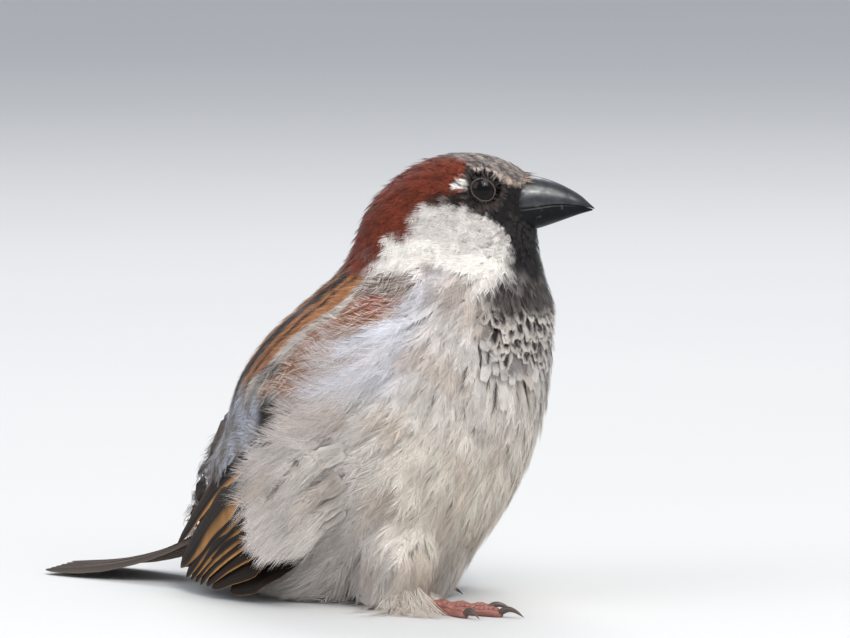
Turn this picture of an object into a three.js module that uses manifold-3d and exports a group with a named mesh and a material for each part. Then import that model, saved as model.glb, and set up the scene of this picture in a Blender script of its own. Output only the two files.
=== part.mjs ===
// A male house sparrow, Passer domesticus, sitting fluffed and upright, life size, in millimetres, +Z up.
// The bird's breast points along +X and its right side is -Y. Its head is turned to its left.
// The plumage is modelled as solid volumes that meet at thin gaps; toes and tail tip rest at z = 0.

import * as THREE from "three";
import { mergeVertices } from "three/addons/utils/BufferGeometryUtils.js";
import Module from "manifold-3d";

// Driving dimensions, in millimetres and degrees.
const GAP = 0.3; // clearance between touching pieces
const BIRD_SHIFT = 21.05; // along X, puts the origin under the middle of the whole bird
const NECK_AXIS_X = 10; // the head turns about this upright line
const HEAD_YAW = 32; // degrees, to the bird's left
const EYE_RADIUS = 3.3;
const EYE_PLACE = { ahead: 7.4, side: 5.5, height: 77.1 }; // eye centre in the head's own frame
const BILL_BASE = 13.2; // where the bill's hidden root starts, ahead of the neck axis
const BILL_TIP = 27.8;
const FOOT = { right: [16.3, -13], left: [-13, 8.5] }; // where the toes join, x and y
const FOOT_TURN = { right: 5, left: 6 }; // degrees that the middle toe points outwards or inwards
const TOE_RADIUS = 1.05;

// The bird's outline as level slices, from the belly up to the crown. `ahead` and `behind` are the slice's
// reach before and behind the neck axis, `half` its half width, `egg` widens (+) or narrows (-) its front.
const SLICES = [
  { height: 3.4, ahead: -10.5, behind: 11.5, half: 0.6, egg: 0, yaw: 0 },
  { height: 4.6, ahead: -5, behind: 22, half: 10.5, egg: 0, yaw: 0 },
  { height: 8.4, ahead: 2.2, behind: 32.5, half: 17.2, egg: 0.03, yaw: 0 },
  { height: 14.8, ahead: 7.4, behind: 41, half: 21.8, egg: 0.06, yaw: 0 },
  { height: 23, ahead: 12.5, behind: 44.3, half: 24.3, egg: 0.08, yaw: 0 },
  { height: 32, ahead: 16.4, behind: 42.3, half: 25.2, egg: 0.08, yaw: 0 },
  { height: 41, ahead: 18.6, behind: 39, half: 24.7, egg: 0.06, yaw: 0 },
  { height: 49, ahead: 20.4, behind: 33.7, half: 22.8, egg: 0.04, yaw: 2 },
  { height: 55.5, ahead: 21, behind: 27, half: 19.4, egg: 0.02, yaw: 8 },
  { height: 60.4, ahead: 19.2, behind: 20.3, half: 15.8, egg: -0.03, yaw: 18 },
  { height: 65, ahead: 17.9, behind: 17.2, half: 12.8, egg: -0.1, yaw: 27 },
  { height: 69.6, ahead: 17.3, behind: 15.5, half: 11.2, egg: -0.2, yaw: HEAD_YAW },
  { height: 74, ahead: 16.9, behind: 13.4, half: 10.4, egg: -0.28, yaw: HEAD_YAW },
  { height: 78, ahead: 16.9, behind: 9.6, half: 9, egg: -0.28, yaw: HEAD_YAW },
  { height: 81, ahead: 13.9, behind: 5.3, half: 6.9, egg: -0.2, yaw: HEAD_YAW },
  { height: 83, ahead: 8.6, behind: 0.4, half: 4.1, egg: -0.1, yaw: HEAD_YAW },
  { height: 83.6, ahead: 4.4, behind: -5.1, half: 0.4, egg: 0, yaw: HEAD_YAW },
];
const SLICE_STEPS = 32;
const SLICE_POINTS = 26;

// The folded right wing lies between a lower edge and an edge on the back, each a curve from the wrist to
// the tip. Here y counts outwards from the middle of the bird, so one table serves both wings.
const WING_LOWER = [[17, 18.5, 51.5], [4, 26, 35], [-9.5, 26.5, 20], [-24, 21, 7.2], [-44.5, 9.8, 1.9]];
const WING_UPPER = [[4, 14, 60], [-12, 12.5, 54.5], [-27, 8, 43], [-38.6, 4.4, 26.5], [-46.5, 7.4, 6.5]];
const WING_THICK = { wrist: 2.4, tip: 0.8 };
const COVERTS_END = 0.42; // share of the wing's length where the coverts stop
const SECONDARIES_END = 0.86;
const PRIMARIES_TOP = 0.46; // share of the wing's width taken by the primaries beside the secondaries

// The tail's middle line, from the rump down to the floor, then its half width and thickness along it.
const TAIL_LINE = [[-27, 0, 19.5], [-38.5, 0, 12.5], [-50.5, 0, 6], [-63.5, 0, 2.2], [-77.5, 0, 0.75]];
const TAIL_HALF_WIDTH = [3.4, 5, 7, 9, 10.6];
const TAIL_THICK = [3.4, 2.8, 2, 1.5, 1.2];

// The coverts that clothe the tail's root: middle line, half widths and half heights.
const RUMP_LINE = [[-20, 0, 22.5], [-31, 0, 17.5], [-40, 0, 12], [-48.5, 0, 7.8]];
const RUMP_HALF_WIDTH = [14, 10.5, 7.2, 2.2];
const RUMP_HALF_HEIGHT = [11.5, 8, 4.4, 1.2];

const COLOURS = {
  crown: 0x8e8782, chestnut: 0x7d3a22, belly: 0xcfc5ba, coverts: 0x8a5a36, secondaries: 0x6b4a30,
  primaries: 0x3d2e26, tail: 0x4a3a31, horn: 0x2a2c30, eye: 0x120c0a, thigh: 0xbfb3a6, leg: 0x9a5f50,
  claw: 0x4a3832,
};

const wasm = await Module();
wasm.setup();

const radians = (degrees) => (degrees * Math.PI) / 180;
const clamp = (value, low, high) => Math.min(high, Math.max(low, value));

// Numbers of a Catmull-Rom curve through evenly spaced values, at share t of the way along.
function smoothly(values, t) {
  const place = clamp(t, 0, 1) * (values.length - 1);
  const i = Math.min(values.length - 2, Math.floor(place));
  const [p1, p2] = [values[i], values[i + 1]];
  const p0 = i > 0 ? values[i - 1] : 2 * p1 - p2;
  const p3 = i + 2 < values.length ? values[i + 2] : 2 * p2 - p1;
  const f = place - i;
  return p1 + 0.5 * f * (p2 - p0 + f * (2 * p0 - 5 * p1 + 4 * p2 - p3 + f * (3 * (p1 - p2) + p3 - p0)));
}

const pointOn = (points, t) => [0, 1, 2].map((k) => smoothly(points.map((p) => p[k]), t));

// A closed solid through rings of equally many points, whichever way round the rings were given.
function loft(rings) {
  const count = rings[0].length;
  const corners = [];
  const quad = (a, b, c, d) => corners.push(a, b, c, a, c, d);
  for (let i = 0; i + 1 < rings.length; i++) {
    for (let j = 0; j < count; j++) {
      const [here, next] = [i * count + j, i * count + ((j + 1) % count)];
      quad(here, next, next + count, here + count);
    }
  }
  // Each end is closed by strips between the points that face each other across the ring.
  const last = (rings.length - 1) * count;
  for (let j = 0; 2 * j + 2 < count; j++) {
    const [near, far] = [j, count - 1 - j];
    const single = near + 1 === far - 1;
    if (single) {
      corners.push(far, near + 1, near);
      corners.push(last + near, last + near + 1, last + far);
    } else if (near + 1 < far - 1) {
      quad(far, far - 1, near + 1, near);
      quad(last + near, last + near + 1, last + far - 1, last + far);
    }
  }
  const geometry = new THREE.BufferGeometry();
  geometry.setAttribute("position", new THREE.Float32BufferAttribute(rings.flat(2), 3));
  geometry.setIndex(corners);
  const made = solidOf(geometry);
  if (made.volume() > 0) return made;
  for (let k = 0; k < corners.length; k += 3) [corners[k], corners[k + 1]] = [corners[k + 1], corners[k]];
  geometry.setIndex(corners);
  return solidOf(geometry);
}

// A three.js geometry as a solid that can be joined and cut.
function solidOf(geometry) {
  const plain = new THREE.BufferGeometry();
  plain.setAttribute("position", geometry.getAttribute("position"));
  plain.setIndex(geometry.index);
  const merged = mergeVertices(plain, 1e-4);
  const mesh = new wasm.Mesh({
    numProp: 3,
    vertProperties: merged.attributes.position.array,
    triVerts: new Uint32Array(merged.index.array),
  });
  return new wasm.Manifold(mesh);
}

function geometryOf(solid) {
  const mesh = solid.getMesh();
  const geometry = new THREE.BufferGeometry();
  geometry.setAttribute("position", new THREE.BufferAttribute(mesh.vertProperties, 3));
  geometry.setIndex(new THREE.BufferAttribute(mesh.triVerts, 1));
  geometry.computeVertexNormals();
  return geometry;
}

// ---- Body outline ----

const slice = (t) => {
  const at = {};
  for (const key of Object.keys(SLICES[0])) at[key] = smoothly(SLICES.map((s) => s[key]), t);
  return at;
};

// A point of a slice's rim at an angle from straight ahead, grown outwards by `grow`.
function rimPoint(s, angle, grow = 0) {
  const length = (s.ahead + s.behind) / 2 + grow;
  const along = (s.ahead - s.behind) / 2 + length * Math.cos(angle);
  const across = (s.half + grow) * Math.sin(angle) * (1 + s.egg * Math.cos(angle));
  return inHead(along, across, s.height, s.yaw);
}

// A point given ahead of and beside the neck axis, turned with the head.
function inHead(ahead, side, height, yaw = HEAD_YAW) {
  const turn = radians(yaw);
  return [
    NECK_AXIS_X + ahead * Math.cos(turn) - side * Math.sin(turn),
    ahead * Math.sin(turn) + side * Math.cos(turn),
    height,
  ];
}

function bodySolid(grow = 0) {
  const rings = [];
  for (let i = 0; i <= SLICE_STEPS; i++) {
    const s = slice(i / SLICE_STEPS);
    const ring = [];
    for (let j = 0; j < SLICE_POINTS; j++) ring.push(rimPoint(s, (j / SLICE_POINTS) * 2 * Math.PI, grow));
    rings.push(ring);
  }
  return loft(rings);
}

// Rings of an oval section square to a line in the upright middle plane.
function ovalTube(line, halfWidths, halfHeights, steps, points, grow = 0) {
  const rings = [];
  for (let i = 0; i <= steps; i++) {
    const t = i / steps;
    const [x, y, z] = pointOn(line, t);
    const [ax, , az] = pointOn(line, Math.min(1, t + 0.01));
    const [bx, , bz] = pointOn(line, Math.max(0, t - 0.01));
    const slope = Math.atan2(az - bz, ax - bx);
    const [wide, high] = [smoothly(halfWidths, t) + grow, smoothly(halfHeights, t) + grow];
    const ring = [];
    for (let j = 0; j < points; j++) {
      const angle = (j / points) * 2 * Math.PI;
      const up = high * Math.sin(angle);
      ring.push([x - up * Math.sin(slope), y + wide * Math.cos(angle), z + up * Math.cos(slope)]);
    }
    rings.push(ring);
  }
  return loft(rings);
}

const rump = (grow) => ovalTube(RUMP_LINE, RUMP_HALF_WIDTH, RUMP_HALF_HEIGHT, 10, 18, grow);

// A big block whose face at `height` leans by `lean` degrees about Y: what lies above it, or below.
function block(height, lean, above) {
  const side = 300;
  const box = new THREE.BoxGeometry(side, side, side);
  box.translate(0, 0, above ? side / 2 : -side / 2);
  box.rotateY(radians(lean));
  box.translate(NECK_AXIS_X, 0, height);
  return solidOf(box);
}

// ---- Head ----

function eyeSolid(side, grow = 0) {
  const ball = new THREE.SphereGeometry(EYE_RADIUS + grow, 16, 10);
  ball.translate(...inHead(EYE_PLACE.ahead, side * EYE_PLACE.side, EYE_PLACE.height));
  return solidOf(ball);
}

// The bill's ridge, closing line and keel, as heights over evenly spaced places from root to tip.
const CULMEN = [79.9, 79.6, 79.0, 77.9, 76.1, 73.6];
const TOMIUM = [73.6, 73.7, 74.1, 74.2, 73.9, 73.3];
const GONYS = [69.2, 69.3, 70.1, 71.1, 72.1, 73.0];
const BILL_HALF_WIDTH = [4.5, 4.1, 3.4, 2.5, 1.5, 0.2];
const BILL_STEPS = 12;
const BILL_POINTS = 10;

// One mandible: a D-shaped section, flat where it closes against the other.
function mandible(ridge, upper) {
  const rings = [];
  for (let i = 0; i <= BILL_STEPS; i++) {
    const t = i / BILL_STEPS;
    const ahead = BILL_BASE + (BILL_TIP - BILL_BASE) * t - (upper ? 0 : 0.7 * t);
    const half = smoothly(BILL_HALF_WIDTH, t);
    const shut = smoothly(TOMIUM, t) + (upper ? GAP / 2 : -GAP / 2);
    const deep = smoothly(ridge, t) - shut;
    const ring = [];
    for (let j = 0; j <= BILL_POINTS; j++) {
      const angle = (j / BILL_POINTS) * Math.PI;
      const side = half * Math.cos(angle);
      ring.push(inHead(ahead, side, shut + deep * Math.sin(angle) ** 0.85));
    }
    rings.push(ring);
  }
  return loft(rings);
}

// ---- Wings and tail ----

// The nearest place outside the body's slices: pushes a point out to `clear` past the rim.
function clearOfBody(p, clear) {
  const share = shareAtHeight(p[2]);
  const s = slice(share);
  const [length, middle] = [(s.ahead + s.behind) / 2, NECK_AXIS_X + (s.ahead - s.behind) / 2];
  const angle = Math.atan2(p[1] / s.half, (p[0] - middle) / length);
  const reach = Math.hypot((p[0] - middle) / length, p[1] / s.half);
  const rim = rimPoint(s, angle, clear);
  const needed = Math.hypot((rim[0] - middle) / length, rim[1] / s.half);
  const excess = reach - needed;
  const softness = 0.05;
  const kept = needed + 0.5 * (excess + Math.hypot(excess, softness));
  return [middle + length * kept * Math.cos(angle), s.half * kept * Math.sin(angle), p[2]];
}

const shareAtHeight = (height) => {
  let [low, high] = [0, 1];
  for (let i = 0; i < 30; i++) {
    const middle = (low + high) / 2;
    if (smoothly(SLICES.map((s) => s.height), middle) < height) low = middle;
    else high = middle;
  }
  return (low + high) / 2;
};

// A point of the folded wing: `along` from wrist to tip, `across` from its lower edge to the back.
function wingPoint(along, across, lift) {
  const [low, high] = [pointOn(WING_LOWER, along), pointOn(WING_UPPER, along)];
  const flat = low.map((v, k) => v + (high[k] - v) * across);
  const bulge = 2.2 * Math.sin(Math.PI * across) * (1 - along);
  flat[1] += bulge;
  return clearOfBody(flat, lift);
}

// The wrist is rounded: the wing's width opens out over the first tenth of its length.
const wristRound = (along) => 0.34 * (1 - clamp(along / 0.12, 0, 1)) ** 2;
const wristLow = (along) => wristRound(along);
const wristHigh = (along) => 1 - wristRound(along);

// A closed slab of the wing between two places along it and two edges across it.
function wingSlab(side, from, to, lowEdge, highEdge, steps, columns) {
  const rings = [];
  for (let i = 0; i <= steps; i++) {
    const along = from + ((to - from) * i) / steps;
    const [low, high] = [lowEdge(along), highEdge(along)];
    const thick = WING_THICK.wrist + (WING_THICK.tip - WING_THICK.wrist) * along;
    const inner = [];
    const outer = [];
    for (let j = 0; j <= columns; j++) {
      const across = low + ((high - low) * j) / columns;
      const edge = Math.sin(Math.PI * clamp(j / columns, 0.1, 0.9)) ** 0.5; // thinner at both edges
      inner.push(wingPoint(along, across, 0.45));
      outer.push(wingPoint(along, across, 0.45 + thick * edge));
    }
    const free = along > 0.72 ? thick : 0; // past the body the slab needs its own thickness
    const ring = [...inner, ...outer.reverse().map((p) => [p[0], p[1] + free * 0.9, p[2]])];
    rings.push(ring.map((p) => [p[0], side * p[1], p[2]]));
  }
  return loft(rings);
}

const primariesTop = (along) => {
  const opened = clamp((along - SECONDARIES_END + 0.06) / 0.12, 0, 1);
  return PRIMARIES_TOP + (1 - PRIMARIES_TOP) * opened * opened * (3 - 2 * opened);
};
const SPLIT = 0.014; // the gap between neighbouring wing pieces, as a share of the wing's length or width
const secondariesLow = (along) => primariesTop(along) + 2.2 * SPLIT;

function tailSolid() {
  const rings = [];
  const [steps, columns] = [14, 6];
  for (let i = 0; i <= steps; i++) {
    const t = i / steps;
    const [x, , z] = pointOn(TAIL_LINE, t);
    const [wide, thick] = [smoothly(TAIL_HALF_WIDTH, t), smoothly(TAIL_THICK, t)];
    const arch = 0.9 * (1 - t);
    const over = [];
    const under = [];
    for (let j = 0; j <= columns; j++) {
      const across = (2 * j) / columns - 1;
      const rise = z + arch * (1 - across * across);
      const notch = t * 1.6 * (1 - Math.abs(across)); // the tail's end is slightly forked
      over.push([x + notch, across * wide, rise + thick / 2]);
      under.push([x + notch, across * wide, rise - thick / 2]);
    }
    rings.push([...over, ...under.reverse()]);
  }
  return loft(rings);
}

// ---- Legs and feet ----

// Rings round a line given as [reach, height] steps from the foot's joint, turned to a heading.
function digit(joint, heading, path, radii, points, grow = 0) {
  const turn = radians(heading);
  const [cos, sin] = [Math.cos(turn), Math.sin(turn)];
  const steps = (path.length - 1) * 2;
  const rings = [];
  for (let i = 0; i <= steps; i++) {
    const t = i / steps;
    const reach = smoothly(path.map((p) => p[0]), t);
    const height = smoothly(path.map((p) => p[1]), t);
    const ahead = [Math.min(1, t + 0.02), Math.max(0, t - 0.02)];
    const run = smoothly(path.map((p) => p[0]), ahead[0]) - smoothly(path.map((p) => p[0]), ahead[1]);
    const rise = smoothly(path.map((p) => p[1]), ahead[0]) - smoothly(path.map((p) => p[1]), ahead[1]);
    const slope = Math.atan2(rise, run);
    const radius = smoothly(radii, t) + grow;
    const ring = [];
    for (let j = 0; j < points; j++) {
      const angle = (j / points) * 2 * Math.PI;
      const out = reach - radius * Math.sin(angle) * Math.sin(slope);
      const side = radius * Math.cos(angle);
      const up = height + radius * Math.sin(angle) * Math.cos(slope);
      ring.push([joint[0] + out * cos - side * sin, joint[1] + out * sin + side * cos, up]);
    }
    rings.push(ring);
  }
  return loft(rings);
}

// Each toe: its heading from the middle toe, length of toe and of claw. Positive headings turn inwards.
const TOES = [
  { name: "hallux", heading: 176, length: 8.6, claw: 6.2 },
  { name: "inner", heading: 25, length: 9.4, claw: 4.6 },
  { name: "middle", heading: 0, length: 13.6, claw: 5 },
  { name: "outer", heading: -24, length: 9.8, claw: 4.4 },
];
const TOE_START = 1.7;
const JOINT_HEIGHT = 1.25;

function toeSolid(joint, heading, toe, grow = 0) {
  const end = TOE_START + toe.length;
  const path = [];
  const radii = [];
  const joints = 5;
  for (let i = 0; i <= joints; i++) {
    const t = i / joints;
    const pad = i % 2 ? 0.1 : -0.04; // pads between the knuckles
    const radius = TOE_RADIUS * (1.05 - 0.28 * t) + pad;
    radii.push(i === joints ? radius * 0.75 : radius);
    path.push([TOE_START + (end - TOE_START) * t, radius * 0.8]);
  }
  return digit(joint, heading, path, radii, 8, grow);
}

function clawSolid(joint, heading, toe) {
  const start = TOE_START + toe.length + GAP;
  const reach = toe.claw * 0.86;
  const path = [[start, 0.95], [start + reach * 0.3, 1.5], [start + reach * 0.7, 1.25], [start + reach, 0.22]];
  return digit(joint, heading, path, [0.62, 0.56, 0.38, 0.1], 6);
}

function shankSolid(joint, grow = 0) {
  const path = [[-8.5, 5.4], [-4, 3.2], [0.1, JOINT_HEIGHT], [1.3, JOINT_HEIGHT]];
  return digit(joint, 0, path, [1.25, 1.15, 1.3, 0.95], 10, grow);
}

function thighSolid(joint, side) {
  const lobe = new THREE.SphereGeometry(1, 16, 10);
  lobe.scale(8, 6, 6);
  lobe.rotateY(radians(18));
  lobe.translate(joint[0] - 7, joint[1] + side * 0.4, 9.4);
  return solidOf(lobe);
}

// ---- The whole bird ----

const bird = new THREE.Group();
bird.position.set(BIRD_SHIFT, 0, 0);

function add(name, solid, colour, roughness = 0.8) {
  const material = new THREE.MeshStandardMaterial({ color: colour, roughness, metalness: 0 });
  const mesh = new THREE.Mesh(geometryOf(solid.simplify(0.04)), material);
  mesh.name = name;
  bird.add(mesh);
}

const HEAD_CUT = { height: 67, lean: -4 };
const NECK_CUT = { height: 58.6, lean: 7 };
const SIDES = [["right", -1], ["left", 1]];
const floor = block(0, 0, false);

const whole = bodySolid();
const grownRump = rump(GAP);
let head = whole.intersect(block(HEAD_CUT.height, HEAD_CUT.lean, true));
for (const [, side] of SIDES) head = head.subtract(eyeSolid(side, GAP));
const grownBody = bodySolid(GAP);

add("head", head, COLOURS.crown);
add("bill_upper", mandible(CULMEN, true).subtract(grownBody), COLOURS.horn, 0.35);
add("bill_lower", mandible(GONYS, false).subtract(grownBody), COLOURS.horn, 0.35);

const aboveTrunk = block(NECK_CUT.height, NECK_CUT.lean, true);
const belowHead = block(HEAD_CUT.height - GAP, HEAD_CUT.lean, false);
add("neck", whole.intersect(aboveTrunk).intersect(belowHead), COLOURS.chestnut);

const belowNeck = block(NECK_CUT.height - GAP, NECK_CUT.lean, false);
const trunk = whole.add(rump(0)).intersect(belowNeck).subtract(floor);
add("trunk", trunk, COLOURS.belly);

for (const [name, side] of SIDES) {
  add(`eye_${name}`, eyeSolid(side), COLOURS.eye, 0.08);

  const trim = (slab) => slab.subtract(grownRump).subtract(grownBody);
  add(`wing_${name}_coverts`, trim(wingSlab(side, 0, COVERTS_END, wristLow, wristHigh, 9, 8)), COLOURS.coverts);
  const past = COVERTS_END + SPLIT;
  const secondaries = wingSlab(side, past, SECONDARIES_END, secondariesLow, () => 1, 8, 5);
  add(`wing_${name}_secondaries`, trim(secondaries), COLOURS.secondaries);
  const primaries = wingSlab(side, past, 1, () => 0, primariesTop, 12, 5);
  add(`wing_${name}_primaries`, trim(primaries), COLOURS.primaries);

  const joint = FOOT[name];
  const turn = FOOT_TURN[name];
  const thigh = thighSolid(joint, side).subtract(grownBody);
  add(`thigh_${name}`, thigh.subtract(shankSolid(joint, GAP)), COLOURS.thigh);
  add(`shank_${name}`, shankSolid(joint).subtract(grownBody).subtract(floor), COLOURS.leg, 0.6);

  const cut = [shankSolid(joint, GAP)];
  for (const toe of [TOES[2], TOES[1], TOES[3], TOES[0]]) {
    const heading = turn - side * toe.heading;
    let solid = toeSolid(joint, heading, toe).subtract(floor);
    for (const neighbour of cut) solid = solid.subtract(neighbour);
    cut.push(toeSolid(joint, heading, toe, GAP));
    add(`toe_${name}_${toe.name}`, solid, COLOURS.leg, 0.6);
    add(`claw_${name}_${toe.name}`, clawSolid(joint, heading, toe), COLOURS.claw, 0.4);
  }
}

add("tail", tailSolid().subtract(grownRump).subtract(grownBody).subtract(floor), COLOURS.tail);

export default bird;
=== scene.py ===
# %% [markdown]
# # A male house sparrow, life size
# The bird sits fluffed and upright, breast along +X, with its head turned to its left.
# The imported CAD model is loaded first. It fixes every size and place, and the pieces made below stand for its
# solids: a skin with feathers over it, eyes with lids, a horn bill, wings, a tail and two scaled feet.

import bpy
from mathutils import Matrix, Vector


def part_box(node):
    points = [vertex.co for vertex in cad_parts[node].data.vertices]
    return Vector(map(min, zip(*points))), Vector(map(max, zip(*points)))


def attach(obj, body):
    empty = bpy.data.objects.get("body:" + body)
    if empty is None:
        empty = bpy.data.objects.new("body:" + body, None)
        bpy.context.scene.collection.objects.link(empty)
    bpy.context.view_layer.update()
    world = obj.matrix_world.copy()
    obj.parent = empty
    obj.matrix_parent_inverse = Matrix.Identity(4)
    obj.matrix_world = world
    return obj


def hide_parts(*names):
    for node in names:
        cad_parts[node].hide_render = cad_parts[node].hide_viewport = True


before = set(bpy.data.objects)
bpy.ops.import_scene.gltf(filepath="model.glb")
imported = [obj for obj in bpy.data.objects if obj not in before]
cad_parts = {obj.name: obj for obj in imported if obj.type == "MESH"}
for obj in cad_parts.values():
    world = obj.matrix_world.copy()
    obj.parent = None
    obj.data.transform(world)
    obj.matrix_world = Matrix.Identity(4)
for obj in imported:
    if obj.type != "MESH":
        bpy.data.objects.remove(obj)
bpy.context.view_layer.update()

# %% [markdown]
# ## One set of places
# Everything is worked out in millimetres about the upright line that the neck turns on: ahead, to the bird's
# left, and up. The eyes give that line and the head's turn, because both are known from the CAD model.
# `placed` turns such places into Blender's metres.

# %% Neck line and head turn
import math

import bmesh
import bpy
import numpy as np
from mathutils import Vector
from mathutils.bvhtree import BVHTree
from mathutils.kdtree import KDTree

MM = 0.001
EYE_AHEAD = 7.4  # millimetres from the neck line to the eyes
UP = np.array([0.0, 0.0, 1.0])


def middle_of(node):
    low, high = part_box(node)
    return (np.array(low) + np.array(high)) / 2 / MM


eye_places = {side: middle_of(f"eye_{side}") for side in ("right", "left")}
across = eye_places["left"] - eye_places["right"]
across[2] = 0
across /= np.linalg.norm(across)
head_forward = np.array([across[1], -across[0], 0])
HEAD_YAW = math.atan2(head_forward[1], head_forward[0])
NECK = (eye_places["left"] + eye_places["right"]) / 2 - EYE_AHEAD * head_forward
NECK[2] = 0


def placed(points):
    return (np.asarray(points) + NECK) * MM


def ease(value, low, high):
    """0 below low, 1 above high, and a smooth rise between."""
    t = np.clip((np.asarray(value, float) - low) / (high - low), 0, 1)
    return t * t * (3 - 2 * t)


def head_turn(height):
    return HEAD_YAW * ease(height, 49, 68)


def in_head(points):
    """Ahead, left and up as the head sees them, for places given in the body's directions."""
    turn = head_turn(points[..., 2])
    ahead = points[..., 0] * np.cos(turn) + points[..., 1] * np.sin(turn)
    left = -points[..., 0] * np.sin(turn) + points[..., 1] * np.cos(turn)
    return np.stack([ahead, left, points[..., 2]], -1)


def from_head(points, turn=None):
    points = np.asarray(points, float)
    turn = HEAD_YAW if turn is None else turn
    ahead = points[..., 0] * np.cos(turn) - points[..., 1] * np.sin(turn)
    left = points[..., 0] * np.sin(turn) + points[..., 1] * np.cos(turn)
    return np.stack([ahead, left, points[..., 2]], -1)


print("neck line at", NECK.round(2), "head turned", round(math.degrees(HEAD_YAW), 1), "degrees")

# %% [markdown]
# ## The camera
# A long lens from low on the bird's right front keeps the shape nearly free of perspective. The picture is
# about 157 mm wide at the bird.

# %% Camera
CAMERA_AZIMUTH, CAMERA_ELEVATION = math.radians(36), math.radians(5)
CAMERA_DISTANCE, FIELD_WIDTH = 1.5, 0.1574
# The middle of the picture: millimetres behind the neck line, to the camera's right of that, and up.
AIM_BACK, AIM_RIGHT, AIM_HEIGHT = 10.0, 4.63, 52.2

camera_right = np.array([math.cos(CAMERA_AZIMUTH), math.sin(CAMERA_AZIMUTH), 0])
camera_back = np.array([
    math.sin(CAMERA_AZIMUTH) * math.cos(CAMERA_ELEVATION),
    -math.cos(CAMERA_AZIMUTH) * math.cos(CAMERA_ELEVATION),
    math.sin(CAMERA_ELEVATION),
])
aim = placed(np.array([-AIM_BACK, 0, 0]) + AIM_RIGHT * camera_right + AIM_HEIGHT * UP)
camera_data = bpy.data.cameras.new("camera")
camera_data.sensor_width = 36
camera_data.lens = 36 * CAMERA_DISTANCE / FIELD_WIDTH
camera_data.clip_end = 50
camera = bpy.data.objects.new("camera", camera_data)
bpy.context.collection.objects.link(camera)
camera.location = Vector(aim + camera_back * CAMERA_DISTANCE)
camera.rotation_mode = "QUATERNION"
camera.rotation_quaternion = Vector(-camera_back).to_track_quat("-Z", "Y")
bpy.context.scene.camera = camera
print("camera at", [round(v, 3) for v in camera.location])

# %% [markdown]
# ## Meshes from arrays
# Thousands of feathers are quick to make when their points are worked out together as arrays. `mesh_from`
# turns points and faces into an object, with a colour on every point that the materials read.


# %% Mesh helpers
def srgb(red, green, blue):
    """A colour as seen on a screen, 0 to 255, in the linear numbers that Blender works in."""
    value = np.array([red, green, blue]) / 255
    return np.where(value <= 0.04045, value / 12.92, ((value + 0.055) / 1.055) ** 2.4)


def mesh_from(name, points, faces, tints=None, flat_uv=None):
    """faces is a list of integer arrays, one for each number of corners."""
    mesh = bpy.data.meshes.new(name)
    corners = np.concatenate([f.ravel() for f in faces])
    totals = np.concatenate([np.full(len(f), f.shape[1]) for f in faces])
    mesh.vertices.add(len(points))
    mesh.vertices.foreach_set("co", placed(points).astype(np.float32).ravel())
    mesh.loops.add(len(corners))
    mesh.loops.foreach_set("vertex_index", corners.astype(np.int32))
    mesh.polygons.add(len(totals))
    starts = np.concatenate([[0], np.cumsum(totals)[:-1]])
    mesh.polygons.foreach_set("loop_start", starts.astype(np.int32))
    mesh.polygons.foreach_set("use_smooth", np.full(len(totals), True))
    mesh.update(calc_edges=True)
    if tints is not None:
        paint(mesh, tints)
    if flat_uv is not None:
        layer = mesh.uv_layers.new(name="OFBake")
        layer.data.foreach_set("uv", flat_uv[corners].astype(np.float32).ravel())
    piece = bpy.data.objects.new(name, mesh)
    bpy.context.collection.objects.link(piece)
    return piece


def paint(mesh, tints):
    layer = mesh.color_attributes.new("tint", "FLOAT_COLOR", "POINT")
    full = np.ones((len(tints), 4), np.float32)
    full[:, :3] = tints
    layer.data.foreach_set("color", full.ravel())


def face_outwards(piece):
    shape = bmesh.new()
    shape.from_mesh(piece.data)
    bmesh.ops.recalc_face_normals(shape, faces=shape.faces)
    shape.to_mesh(piece.data)
    shape.free()


def arrays_of(mesh):
    """A mesh's points, in millimetres about the neck line, its triangles and its point normals."""
    points = np.empty(len(mesh.vertices) * 3)
    mesh.vertices.foreach_get("co", points)
    normals = np.empty(len(mesh.vertices) * 3)
    mesh.vertices.foreach_get("normal", normals)
    mesh.calc_loop_triangles()
    triangles = np.empty(len(mesh.loop_triangles) * 3, np.int64)
    mesh.loop_triangles.foreach_get("vertices", triangles)
    return points.reshape(-1, 3) / MM - NECK, triangles.reshape(-1, 3), normals.reshape(-1, 3)


# %% [markdown]
# ## Skin and the surface that the coat lies on
# The flesh solids are copied, grown by a hair so that they meet, and joined by a voxel remesh into one skin.
# The same is done with the wings added. That second surface is never shown: the feathers are laid along it.


# %% Joined surfaces
FLESH = ["head", "neck", "trunk", "thigh_right", "thigh_left"]
WING_PARTS = ("coverts", "secondaries", "primaries")
WINGS = [f"wing_{side}_{part}" for side in ("right", "left") for part in WING_PARTS]


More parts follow.
